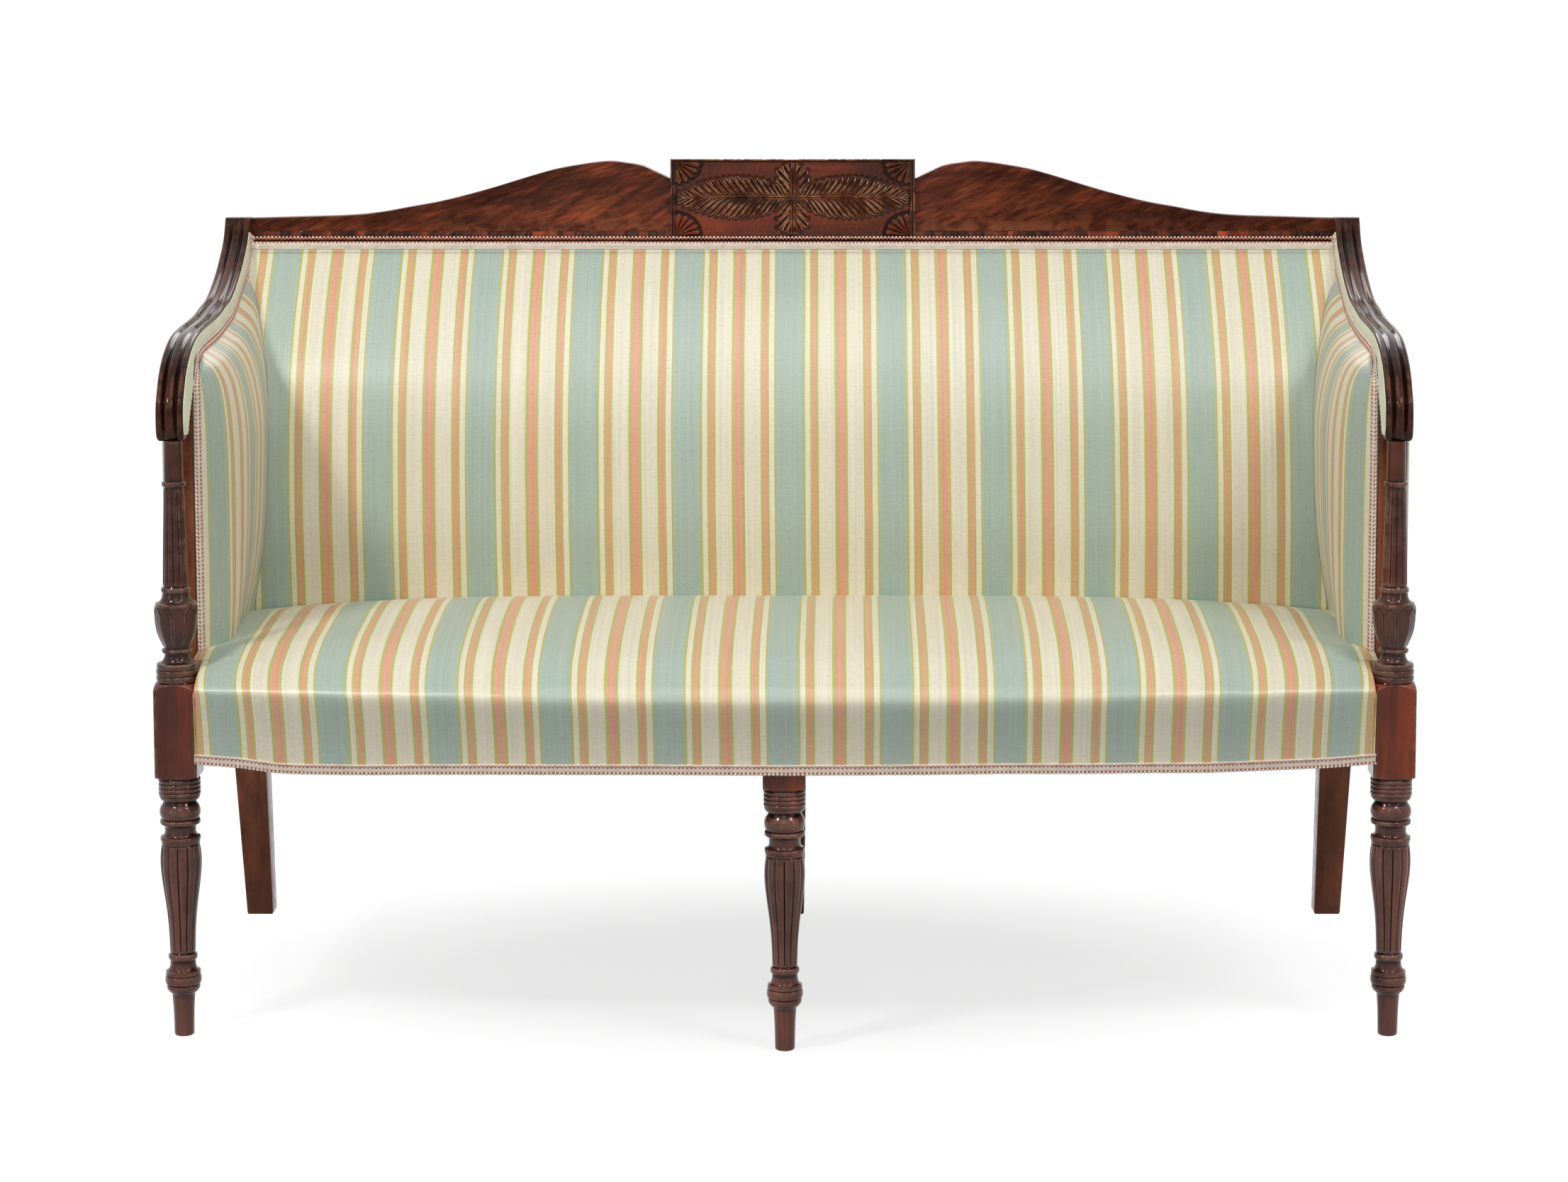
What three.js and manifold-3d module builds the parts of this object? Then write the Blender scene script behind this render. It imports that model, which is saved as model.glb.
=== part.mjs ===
// A settee of about 1800: mahogany frame, turned and reeded front legs, tight striped satin upholstery.
// Millimetres. X runs across, Y from the front to the back, Z up from the floor.
// Y is counted from the axis of the corner legs until the finished settee is centred at the very end.
import * as THREE from "three";
import { mergeVertices } from "three/addons/utils/BufferGeometryUtils.js";
import Module from "manifold-3d";

const wasm = await Module();
wasm.setup();

// Driving dimensions of the frame
const legSpacing = 1460; // between the axes of the two corner legs
const legHeight = 320; // floor to the underside of the square block
const blockSize = 50.8; // side of the square block
const blockHeight = 115;
const blockCrown = 10; // how far the corners of the block's top are turned down
const columnHeight = 291; // turned column from the block up to the arm
const rearLegSet = 500; // corner leg axis to the front face of the rear posts, at the seat
const rearSplay = 60; // how much farther back the rear legs stand on the floor
const rearPostWidth = 46;
const rearPostDepth = 50;
const rearFootWidth = 35;
const rearFootDepth = 35;
const rearTopDepth = 24;
const rearMiddleWidth = 40;
const rearMiddleFoot = 28;
const backRakeShare = 0.172; // how far the back leans for each millimetre of height
const kneeRise = 15; // the rear legs start to splay this far above the front legs' turned part
const postOverhang = 2.6; // the rear posts stand this far outside the front blocks

// Clearances
const fit = 0.3; // between pieces that touch
const softGap = 2.5; // between padded pieces that press together

// Upholstery materials
const coverThick = 2;
const webThick = 2;
const webWidth = 50;
const gimpWidth = 12;
const gimpThick = 1.6;
const liningThick = 1;

// Seat
const hemRise = 22; // lower edge of the covers above the underside of the blocks
const seatEdgeDrop = 7; // front edge of the seat below the top of the blocks
const seatCrown = 61; // how far the seat rises above its front edge
const seatBow = 66; // how far the middle of the front swells forward
const seatProud = 2.6; // front of the seat beside the blocks, in front of their faces
const middleLegCover = 7.6; // stuffing and cover in front of the middle leg's block
const backPad = 100; // thickness of the back from the rear posts, at the seat
const backSwell = 3; // how much farther forward the back stands a little above the seat
const edgeRoll = 24; // stuffed edge above the seat rail
const tuckGap = 8; // the covers are tucked down to this height above the rails
const railThick = 28;
const cornerBlockLeg = 70; // leg of the triangular corner block
const cornerBlockHeight = 40;

// Crest
const crestEndRise = 30.5; // crest height at its ends
const crestHumpRise = 106.5;
const crestDipRise = 83; // beside the tablet
const crestThick = 24;
const crestSetBack = 2; // front of the crest behind the front of the posts
const crestHumpPlace = 243; // centre of a hump from the centre of the settee
const tabletWidth = 330;
const tabletHeight = 106;
const tabletThick = 9;
const beadHeight = 4;
const beadThick = 3;

// Arms
const armRailWidth = 33;
const armFrontOverhang = 18; // outer edge of the arm rail outside the leg axis, at its front end
const armBackOverhang = 3; // and outside the rear post, at its upper end
const armRise = 227; // top of the turned column to the upper end of the arm rail
const armFrontSet = 16; // the rolled front stands this far in front of the leg axis
const armEndSet = 15.9; // the upper end stands this far in front of the rear post
const armEndProud = 2; // the upper end rises this far above the end of the crest
const armPad = 46; // greatest thickness of the arm's stuffing inside the arm rail
const stileSet = 60; // front face of the arm front stile behind the leg axis
const stileDepth = 25;
const stileWidth = 32;
const panelInset = 5.4; // outside arm cover inside the face of the blocks
const tackRailHeight = 40; // height of the lower arm rail and the lower back rail
const tackGap = 24; // room below them to pull the covers through

// Heights that follow
const blockTop = legHeight + blockHeight;
const columnTop = blockTop + columnHeight;
const hemHeight = legHeight + hemRise;
const kneeHeight = legHeight + kneeRise;
const seatEdgeHeight = blockTop - seatEdgeDrop;
const railTop = seatEdgeHeight - edgeRoll;
const seatTuck = railTop + tuckGap;
const tackBottom = seatEdgeHeight + tackGap;
const tackTop = tackBottom + tackRailHeight;
const postKnee = tackBottom - coverThick; // where the rear posts start to lean back
const crestBottom = columnTop + armRise - crestEndRise - armEndProud;

// Widths from the middle of the settee, and depths from the leg axis, that follow
const blockBack = blockSize / 2;
const legInner = legSpacing / 2 - blockBack;
const blockOuter = legSpacing / 2 + blockBack;
const overallHalf = blockOuter + postOverhang;
const postInner = overallHalf - rearPostWidth;
const stileOuter = blockOuter - panelInset;
const stileInner = stileOuter - stileWidth;
const seatFrontSet = blockBack + seatProud;
const middleLegSet = seatFrontSet + seatBow - blockBack - middleLegCover;
const rearFootSet = rearLegSet + rearSplay;
const seatBack = rearLegSet - backPad;
const backAt = (z) => rearLegSet + Math.max(z - postKnee, 0) * backRakeShare; // front of the rear posts
const armEnd = backAt(crestBottom) - armEndSet;
const armLength = armEnd + armFrontSet;

const root = new THREE.Group();

const wood = new THREE.MeshStandardMaterial({ color: 0x4a1f12, roughness: 0.35, metalness: 0 });
const plainWood = new THREE.MeshStandardMaterial({ color: 0xb08a5a, roughness: 0.75, metalness: 0 });
const satin = new THREE.MeshStandardMaterial({ color: 0xe9dfc4, roughness: 0.45, metalness: 0 });
const paleGreen = new THREE.MeshStandardMaterial({ color: 0xb9c3ad, roughness: 0.5, metalness: 0 });
const braid = new THREE.MeshStandardMaterial({ color: 0xe8cdb8, roughness: 0.8, metalness: 0 });
const jute = new THREE.MeshStandardMaterial({ color: 0xa98f63, roughness: 0.95, metalness: 0 });
const hair = new THREE.MeshStandardMaterial({ color: 0x8d7a60, roughness: 1, metalness: 0 });
const cambric = new THREE.MeshStandardMaterial({ color: 0xc9c8c0, roughness: 0.9, metalness: 0 });

function add(name, geometry, material) {
  const mesh = new THREE.Mesh(geometry, material);
  mesh.name = name;
  root.add(mesh);
  return mesh;
}

// The same piece on both sides: make(side) builds it for -1, the left, and for +1, the right.
function addPair(name, make, material) {
  add(name + "_left", make(-1), material);
  add(name + "_right", make(1), material);
}

const at = (x, y, z) => new THREE.Vector3(x, y, z);

// A closed mesh from points and triangles, turned to face outwards.
function closedMesh(points, triangles) {
  let volume = 0;
  for (const [a, b, c] of triangles) {
    volume += points[a].dot(points[b].clone().cross(points[c]));
  }
  const index = volume < 0 ? triangles.map(([a, b, c]) => [a, c, b]) : triangles;
  const geometry = new THREE.BufferGeometry().setFromPoints(points);
  geometry.setIndex(index.flat());
  return geometry;
}

// A solid through rings that all have the same number of points, closed at both ends about its middle.
function loft(rings) {
  const count = rings[0].length;
  const points = rings.flat();
  const triangles = [];
  for (let r = 0; r + 1 < rings.length; r++) {
    for (let i = 0; i < count; i++) {
      const a = r * count + i;
      const b = r * count + ((i + 1) % count);
      triangles.push([a, b, b + count], [a, b + count, a + count]);
    }
  }
  for (const [ring, start] of [[rings[0], 0], [rings[rings.length - 1], (rings.length - 1) * count]]) {
    const middle = ring.reduce((sum, p) => sum.add(p), at(0, 0, 0)).divideScalar(count);
    const centre = points.push(middle) - 1;
    for (let i = 0; i < count; i++) {
      const pair = [start + ((i + 1) % count), start + i];
      triangles.push(start === 0 ? [centre, ...pair] : [centre, ...pair.reverse()]);
    }
  }
  return closedMesh(points, triangles);
}

// A solid between two grids of points, joined along their edges.
function slab(front, back) {
  const rows = front.length;
  const columns = front[0].length;
  const points = [...front.flat(), ...back.flat()];
  const far = rows * columns;
  const triangles = [];
  for (let r = 0; r + 1 < rows; r++) {
    for (let c = 0; c + 1 < columns; c++) {
      const a = r * columns + c;
      triangles.push([a, a + 1, a + columns + 1], [a, a + columns + 1, a + columns]);
      triangles.push([far + a, far + a + columns + 1, far + a + 1]);
      triangles.push([far + a, far + a + columns, far + a + columns + 1]);
    }
  }
  const edge = [];
  for (let c = 0; c < columns - 1; c++) edge.push(c);
  for (let r = 0; r < rows - 1; r++) edge.push(r * columns + columns - 1);
  for (let c = columns - 1; c > 0; c--) edge.push((rows - 1) * columns + c);
  for (let r = rows - 1; r > 0; r--) edge.push(r * columns);
  edge.forEach((a, i) => {
    const b = edge[(i + 1) % edge.length];
    triangles.push([a, far + a, far + b], [a, far + b, b]);
  });
  return closedMesh(points, triangles);
}

// The grid moved along its own normals; a negative distance moves it inwards, under the surface.
function offsetGrid(grid, distance, outward) {
  const last = (list) => list.length - 1;
  return grid.map((row, r) =>
    row.map((point, c) => {
      const along = row[Math.min(c + 1, last(row))].clone().sub(row[Math.max(c - 1, 0)]);
      const down = grid[Math.min(r + 1, last(grid))][c].clone().sub(grid[Math.max(r - 1, 0)][c]);
      return point.clone().addScaledVector(along.cross(down).normalize(), distance * outward);
    })
  );
}

// A smooth value through hand-picked places, each a pair of place and value.
function curveThrough(pairs) {
  return (place) => {
    const last = pairs.length - 1;
    if (place <= pairs[0][0]) return pairs[0][1];
    if (place >= pairs[last][0]) return pairs[last][1];
    const i = pairs.findIndex(([p]) => p > place) - 1;
    const slope = (j) => {
      const low = pairs[Math.max(j - 1, 0)];
      const high = pairs[Math.min(j + 1, last)];
      return (high[1] - low[1]) / (high[0] - low[0]);
    };
    const [[p0, v0], [p1, v1]] = [pairs[i], pairs[i + 1]];
    const span = p1 - p0;
    const t = (place - p0) / span;
    const rise = v1 - v0;
    const bend = t * t * (3 - 2 * t);
    const start = t * (1 - t) * (1 - t) * span * slope(i);
    const end = t * t * (1 - t) * span * slope(i + 1);
    return v0 + rise * bend + start - end;
  };
}

function box(x0, x1, y0, y1, z0, z1) {
  const geometry = new THREE.BoxGeometry(x1 - x0, y1 - y0, z1 - z0);
  return geometry.translate((x0 + x1) / 2, (y0 + y1) / 2, (z0 + z1) / 2);
}

// A box between two places counted outwards from the middle, on the given side.
function sideBox(side, inner, outer, y0, y1, z0, z1) {
  return box(Math.min(side * inner, side * outer), Math.max(side * inner, side * outer), y0, y1, z0, z1);
}

function toSolid(geometry) {
  const bare = geometry.clone();
  bare.deleteAttribute("normal");
  bare.deleteAttribute("uv");
  const merged = mergeVertices(bare);
  const triVerts = new Uint32Array(merged.index.array);
  return new wasm.Manifold(
    new wasm.Mesh({ numProp: 3, vertProperties: merged.attributes.position.array, triVerts })
  );
}

function fromSolid(solid) {
  const mesh = solid.getMesh();
  const geometry = new THREE.BufferGeometry();
  geometry.setAttribute("position", new THREE.BufferAttribute(mesh.vertProperties, 3));
  geometry.setIndex(new THREE.BufferAttribute(mesh.triVerts, 1));
  return geometry;
}

// Turned work: one ring of points for each height, round, square or cut into reeds.
const ringPoints = 24;
const reedCut = 1.6; // depth of the grooves between reeds

function turnedRing(x, y, z, radius, shape) {
  const ring = [];
  for (let i = 0; i < ringPoints; i++) {
    const angle = (2 * Math.PI * i) / ringPoints;
    const toSquare = blockSize / 2 / Math.max(Math.abs(Math.cos(angle)), Math.abs(Math.sin(angle)));
    let r = radius;
    if (shape === "square") r = Math.min(radius, toSquare);
    if (shape === "reeds" && i % 2 === 1) r -= reedCut;
    ring.push(at(x + r * Math.cos(angle), y + r * Math.sin(angle), z));
  }
  return ring;
}

// Heights are shares of the leg's height, radii are shares of half the block.
const legShares = [
  [0, 0.45, "round"], [0.144, 0.53, "round"], [0.166, 0.59, "round"], [0.175, 0.72, "round"],
  [0.192, 0.8, "round"], [0.22, 0.85, "round"], [0.247, 0.81, "round"], [0.262, 0.71, "round"],
  [0.277, 0.6, "round"], [0.291, 0.61, "round"], [0.306, 0.69, "round"], [0.322, 0.6, "round"],
  [0.33, 0.6, "reeds"], [0.44, 0.66, "reeds"], [0.55, 0.82, "reeds"], [0.63, 0.94, "reeds"],
  [0.68, 0.97, "reeds"], [0.736, 0.9, "reeds"], [0.744, 0.9, "round"], [0.757, 0.95, "round"],
  [0.77, 0.92, "round"], [0.788, 0.71, "round"], [0.827, 0.96, "round"], [0.866, 0.96, "round"],
  [0.885, 0.9, "round"], [0.903, 0.75, "round"], [0.918, 0.88, "round"], [0.935, 0.99, "round"],
  [0.955, 0.93, "round"], [0.975, 0.99, "round"], [0.999, 0.96, "round"],
];

// Heights are shares of the column's height, radii are shares of half the block.
const columnShares = [
  [0.001, 0.97, "round"], [0.03, 0.99, "round"], [0.066, 0.99, "round"], [0.082, 0.89, "round"],
  [0.1, 0.66, "round"], [0.113, 0.57, "round"], [0.131, 0.72, "round"], [0.141, 0.61, "round"],
  [0.18, 0.77, "round"], [0.223, 0.93, "round"], [0.27, 1, "round"], [0.332, 0.96, "round"],
  [0.365, 0.65, "round"],
  [0.385, 0.7, "round"], [0.395, 0.61, "round"], [0.402, 0.61, "reeds"], [0.6, 0.54, "reeds"],
  [0.8, 0.48, "reeds"], [0.806, 0.48, "round"], [0.822, 0.57, "round"], [0.836, 0.46, "round"],
  [1, 0.44, "round"],
];

function turnedRings(x, y, shares, bottom, height) {
  return shares.map(([rise, radius, shape]) =>
    turnedRing(x, y, bottom + rise * height, (radius * blockSize) / 2, shape)
  );
}

const blockCorner = blockSize / Math.SQRT2;

function frontPost(side) {
  const x = (side * legSpacing) / 2;
  const crownStart = blockTop - blockCrown;
  const rings = [
    ...turnedRings(x, 0, legShares, 0, legHeight),
    turnedRing(x, 0, legHeight, blockCorner, "square"),
    turnedRing(x, 0, crownStart, blockCorner, "square"),
    turnedRing(x, 0, crownStart + blockCrown / 2, blockCorner - blockCrown / 3, "square"),
    turnedRing(x, 0, blockTop, blockSize / 2, "square"),
    ...turnedRings(x, 0, columnShares, blockTop, columnHeight),
  ];
  return loft(rings);
}
addPair("front_post", frontPost, wood);

add("front_middle_leg", loft([
  ...turnedRings(0, -middleLegSet, legShares, 0, legHeight),
  turnedRing(0, -middleLegSet, legHeight, blockCorner, "square"),
  turnedRing(0, -middleLegSet, railTop, blockCorner, "square"),
]), wood);

// Rear posts: square in section, splayed back to the floor and raked back above the seat
const postLevels = 3; // levels above the knee

function rectangleRing(x0, x1, y0, y1, z) {
  return [at(x0, y0, z), at(x1, y0, z), at(x1, y1, z), at(x0, y1, z)];
}

function rearPost(side) {
  const outer = side * overallHalf;
  const inner = side * postInner;
  const foot = inner + side * rearFootWidth;
  const top = crestBottom - fit;
  const depth = curveThrough([[postKnee, rearPostDepth], [top, rearTopDepth]]);
  const rings = [
    rectangleRing(inner, foot, rearFootSet, rearFootSet + rearFootDepth, 0),
    rectangleRing(inner, outer, rearLegSet, rearLegSet + rearPostDepth, kneeHeight),
  ];
  for (let i = 0; i <= postLevels; i++) {
    const z = postKnee + ((top - postKnee) * i) / postLevels;
    rings.push(rectangleRing(inner, outer, backAt(z), backAt(z) + depth(z), z));
  }
  return loft(rings);
}
addPair("rear_post", rearPost, wood);

const rearRailFront = rearLegSet + (rearPostDepth - railThick) / 2;
const rearRailBack = rearRailFront + railThick;

add("rear_middle_leg", loft([
  rectangleRing(-rearMiddleFoot / 2, rearMiddleFoot / 2, rearFootSet, rearFootSet + rearFootDepth, 0),
  rectangleRing(-rearMiddleWidth / 2, rearMiddleWidth / 2, rearLegSet, rearLegSet + rearPostDepth, kneeHeight),
  rectangleRing(
    -rearMiddleWidth / 2, rearMiddleWidth / 2, rearLegSet, rearLegSet + rearPostDepth, hemHeight + fit
  ),
]), wood);

// Seat rails: the front one in two bowed halves between the blocks, the others straight
const bowAt = (x) => -seatFrontSet - seatBow * (1 - (x / legInner) ** 2);
const railBottom = hemHeight + 2 * fit;
const bowSteps = 8;

function frontRail(side) {
  const start = blockSize / 2 + fit;
  const end = legInner - fit;
  const rings = [];
  for (let i = 0; i <= bowSteps; i++) {
    const x = start + ((end - start) * i) / bowSteps;
    const front = bowAt(x) + coverThick + 4 * fit;
    const back = front + railThick;
    rings.push([
      at(side * x, front, railBottom), at(side * x, back, railBottom),
      at(side * x, back, railTop), at(side * x, front, railTop),
    ]);
  }
  return loft(rings);
}
addPair("seat_rail_front", frontRail, plainWood);

const sideRailInner = stileOuter - railThick;

addPair("seat_rail_side", (side) =>
  sideBox(side, sideRailInner, stileOuter, blockBack + fit, rearLegSet - fit, railBottom, railTop), plainWood);

add("seat_rail_rear", box(
  -postInner + fit, postInner - fit, rearRailFront, rearRailBack, railBottom, railTop), plainWood);

const middleBack = -middleLegSet + blockBack;
const crossSag = 12; // the cross rail is hollowed so that the webbing never rests on it
const crossHalf = railThick / 2;

add("seat_cross_rail", box(
  -crossHalf, crossHalf, middleBack + fit, rearRailFront - fit, railBottom, railTop - crossSag), plainWood);

// Corner blocks, glued and screwed into the angles of the seat frame
const cornerBlockBottom = railBottom + (railTop - railBottom - cornerBlockHeight) / 2;

function cornerBlock(side, x, y, depthSign) {
  const outline = [at(x, y, 0), at(x - cornerBlockLeg, y, 0), at(x, y + depthSign * cornerBlockLeg, 0)];
  const ring = (z) => outline.map((p) => at(side * p.x, p.y, z));
  return loft([ring(cornerBlockBottom), ring(cornerBlockBottom + cornerBlockHeight)]);
}
const cornerFront = blockBack + fit;
const cornerBack = rearRailFront - fit;
addPair("corner_block_front", (side) => cornerBlock(side, sideRailInner - fit, cornerFront, 1), plainWood);
addPair("corner_block_rear", (side) => cornerBlock(side, postInner - fit, cornerBack, -1), plainWood);

// Arm rails: a moulded section swept from the crest, forward and down to the rolled end over the column.
// Places are shares of the arm's length, counted from the rolled front, and of its rise. What is over one
// lies behind the upper end, and is a share of how far that end stands in front of the rear post.
const armTopShares = [
  [1, 1], [0.96, 0.89], [0.902, 0.802], [0.831, 0.714], [0.7, 0.608], [0.59, 0.573], [0.489, 0.546],
  [0.301, 0.529], [0.208, 0.511], [0.15, 0.48], [0.09, 0.423], [0.046, 0.352], [0.021, 0.278],
  [0, 0.189], [0, 0.062], [0.012, 0.001],
];
const armUnderShares = [
  [2.35, 1], [1.82, 0.835], [0.957, 0.7], [0.855, 0.6], [0.71, 0.476], [0.6, 0.441], [0.49, 0.414],
  [0.305, 0.396], [0.228, 0.381], [0.185, 0.353], [0.134, 0.282], [0.105, 0.216], [0.084, 0.159],
  [0.065, 0.106], [0.055, 0.048], [0.043, 0.001],
];
// The moulding across the rail: place across the width and height up the section, as shares.
const armSectionShares = [
  [0, 0.06], [0, 0.9], [0.07, 0.97], [0.16, 0.97], [0.24, 0.86], [0.34, 0.93], [0.5, 1], [0.66, 0.93],
  [0.76, 0.86], [0.84, 0.97], [0.93, 0.97], [1, 0.9], [1, 0.06], [0.5, 0],
];
const armSteps = 30;

function armPlace([along, rise]) {
  const y = along > 1 ? armEnd + (along - 1) * armEndSet : -armFrontSet + along * armLength;
  return at(0, y, columnTop + rise * armRise);
}
const armTopCurve = new THREE.CatmullRomCurve3(armTopShares.map(armPlace), false, "centripetal");
const armUnderCurve = new THREE.CatmullRomCurve3(armUnderShares.map(armPlace), false, "centripetal");
const armOuterFront = legSpacing / 2 + armFrontOverhang;
const armOuterBack = overallHalf + armBackOverhang;
const armOuterAt = (y) => armOuterFront + ((armOuterBack - armOuterFront) * (y + armFrontSet)) / armLength;
const armInnerAt = (y) => armOuterAt(y) - armRailWidth;

function armRail(side) {
  const rings = [];
  for (let i = 0; i <= armSteps; i++) {
    const top = armTopCurve.getPoint(i / armSteps);
    const under = armUnderCurve.getPoint(i / armSteps);
    rings.push(armSectionShares.map(([across, up]) => {
      const point = under.clone().lerp(top, up);
      const x = armInnerAt(top.y) + (1 - across) * armRailWidth;
      return at(side * x, point.y, point.z + fit);
    }));
  }
  return loft(rings);
}
addPair("arm_rail", armRail, wood);

// Height of a line along the arm at a place, where the line's points run from the back to the front
function heightOn(line, y) {
  const i = Math.max(line.findIndex((p) => p.y <= y), 1);
  const [a, b] = [line[i - 1], line[i]];
  return a.z + ((b.z - a.z) * (y - a.y)) / (b.y - a.y);
}
const underLine = armUnderCurve.getPoints(armSteps);
const underAt = (y) => heightOn(underLine, y);

function armStile(side) {
  const back = stileSet + stileDepth;
  const outline = new THREE.Shape();
  outline.moveTo(stileSet, railTop + fit);
  outline.lineTo(back, railTop + fit);
  outline.lineTo(back, underAt(back) - fit);
  outline.lineTo(stileSet, underAt(stileSet) - fit);
  const post = new THREE.ExtrudeGeometry(outline, { depth: stileOuter - stileInner, bevelEnabled: false });
  post.rotateX(Math.PI / 2).rotateZ(Math.PI / 2);
  return post.translate(side > 0 ? stileInner : -stileOuter, 0, 0);
}
addPair("arm_front_stile", armStile, wood);

addPair("arm_rail_lower", (side) =>
  sideBox(side, sideRailInner, stileOuter, stileSet + stileDepth + fit, rearLegSet - fit,
    tackBottom, tackTop), plainWood);

// Back frame between the rear posts: a lower rail and two uprights that carry the webbing
const backRailDepth = 18;

function rakedBox(x0, x1, z0, z1, front, depth) {
  const ring = (z) => rectangleRing(x0, x1, backAt(z) + front, backAt(z) + front + depth, z);
  return loft([ring(z0), ring(z1)]);
}
add("back_rail_lower", rakedBox(
  -postInner + fit, postInner - fit, tackBottom, tackTop, 0, backRailDepth), plainWood);

const uprightPlaceShare = 0.34; // of half the width between the posts
const uprightWidth = 40;
addPair("back_upright", (side) => {
  const x = side * uprightPlaceShare * postInner;
  return rakedBox(x - uprightWidth / 2, x + uprightWidth / 2, tackTop + fit, crestBottom - fit,
    0, backRailDepth);
}, plainWood);

// Crest rail: two humps and a raised middle behind the tablet, leaning back with the posts
const crestFront = backAt(crestBottom) + crestSetBack;
const leanBack = new THREE.Matrix4().makeShear(0, 0, 0, 0, 0, backRakeShare);
const crestPlace = (geometry, front) => {
  geometry.rotateX(Math.PI / 2);
  geometry.applyMatrix4(leanBack);
  return geometry.translate(0, front, crestBottom);
};
const tabletHalf = tabletWidth / 2;
const crestFlatShare = 0.8; // share of the half width where the straight end of the crest begins
const crestSwellShare = 0.45; // fullness of the long curve from the hump down to the straight end
const crestSegments = 10;

function crestOutline() {
  const flatEnd = crestFlatShare * overallHalf;
  const swell = crestSwellShare * (flatEnd - crestHumpPlace);
  const outline = new THREE.Shape();
  outline.moveTo(-overallHalf, 0);
  outline.lineTo(overallHalf, 0);
  outline.lineTo(overallHalf, crestEndRise);
  outline.lineTo(flatEnd, crestEndRise);
  outline.bezierCurveTo(flatEnd - swell, crestEndRise, crestHumpPlace + swell, crestHumpRise,
    crestHumpPlace, crestHumpRise);
  outline.quadraticCurveTo((crestHumpPlace + tabletHalf) / 2, crestHumpRise, tabletHalf, crestDipRise);
  outline.lineTo(tabletHalf, tabletHeight);
  outline.lineTo(-tabletHalf, tabletHeight);
  outline.lineTo(-tabletHalf, crestDipRise);
  outline.quadraticCurveTo(-(crestHumpPlace + tabletHalf) / 2, crestHumpRise,
    -crestHumpPlace, crestHumpRise);
  outline.bezierCurveTo(-crestHumpPlace - swell, crestHumpRise, -flatEnd + swell, crestEndRise,
    -flatEnd, crestEndRise);
  outline.lineTo(-overallHalf, crestEndRise);
  return outline;
}
add("crest_rail", crestPlace(
  new THREE.ExtrudeGeometry(crestOutline(), {
    depth: crestThick,
    bevelEnabled: false,
    curveSegments: crestSegments,
  }),
  crestFront + crestThick), wood);

add("crest_tablet", crestPlace(box(
  -tabletHalf, tabletHalf, beadHeight + fit, tabletHeight + beadHeight, 0, tabletThick
), crestFront - fit), wood);

add("crest_bead", crestPlace(box(
  -armInnerAt(armLength) + fit, armInnerAt(armLength) - fit, 0, beadHeight, 0, beadThick
), crestFront - fit), wood);

// Inner face of an arm, as half the width between the arms at a place and height
const sideEdgeShare = 0.2; // of the arm rail's side, from below, where the gimp's lower edge runs
const gimpEdgeShare = 0.58; // of the same side, where the gimp's upper edge runs
const liningTopShare = 0.9;
const armSeatShare = 0.443; // of the seat's crown, where the arm meets the seat
const armSeatHeight = seatEdgeHeight + armSeatShare * seatCrown;
// How thick the arm pad is along the arm, place and thickness as shares
const padThickShares = [
  [0.155, 0.12], [0.165, 0.21], [0.182, 0.34], [0.217, 0.5], [0.2685, 0.64], [0.3546, 0.79],
  [0.475, 0.92], [0.613, 0.99], [0.75, 1], [0.888, 0.78], [1, 0.33],
];
// How full the arm pad is from its upper edge down to the seat, as shares
const padFullShares = [
  [0, 0], [0.03, 0.4], [0.07, 0.65], [0.13, 0.82], [0.25, 0.95], [0.4, 1], [0.75, 1], [1, 0.82],
];
const padThick = curveThrough(padThickShares);
const padFull = curveThrough(padFullShares);

const sideLine = armUnderCurve.getPoints(armSteps * 4);
armTopCurve.getPoints(armSteps * 4).forEach((top, i) => sideLine[i].lerp(top, sideEdgeShare));
const sideEdgeAt = (y) => heightOn(sideLine, y);

function armHalf(y, z) {
  const edge = armInnerAt(y) - coverThick - 3 * fit;
  const below = Math.max(sideEdgeAt(y) - softGap - z, 0);
  const full = padFull(below / (sideEdgeAt(y) - armSeatHeight));
  return edge - armPad * padThick((y + armFrontSet) / armLength) * full;
}

// Arm cover: columns from the front edge to behind the back cover, rows from the gimp down to the tuck.
// Each column has its place at the gimp and at the tuck, as shares of the arm's length.
const armColumnShares = [
  [0.155, 0.155], [0.169, 0.169], [0.189, 0.189], [0.2255, 0.2255], [0.286, 0.277], [0.389, 0.355],
  [0.527, 0.458], [0.664, 0.561], [0.768, 0.63], [0.845, 0.682], [0.897, 0.716], [0.948, 0.75], [1, 0.785],
];
const armColumns = armColumnShares.map((pair) => pair.map((share) => share * armLength - armFrontSet));
// The gimp's strip down the front edge, seen from above, stands turned inwards in front of the stile.
const gimpAcrossShare = 0.54; // of the gimp's width
const gimpDeepShare = 0.79;
const gimpOuter = at(stileInner - coverThick, stileSet + coverThick + gimpThick / 2, 0);
const gimpInner = at(gimpOuter.x - gimpAcrossShare * gimpWidth, gimpOuter.y + gimpDeepShare * gimpWidth, 0);
const gimpSeatGap = 8; // foot of that strip above the seat
const gimpFoot = armSeatHeight + gimpSeatGap;
const gimpTurnShare = 0.26; // of the arm's rise, where the gimp turns down along the front edge
const gimpTurn = columnTop + gimpTurnShare * armRise;
const gimpSlope = 1.1;

// The cover's upper edge runs under the gimp, and drops with it at the front corner.
function armTopAt(y) {
  const atCorner = gimpTurn - 2 * softGap + (y - gimpInner.y) * gimpSlope;
  return Math.min(sideEdgeAt(y) - softGap, atCorner);
}

const armRowShares = [0, 0.025, 0.06, 0.12, 0.22, 0.38, 0.6, 0.85, 0.97, 1];

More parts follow.
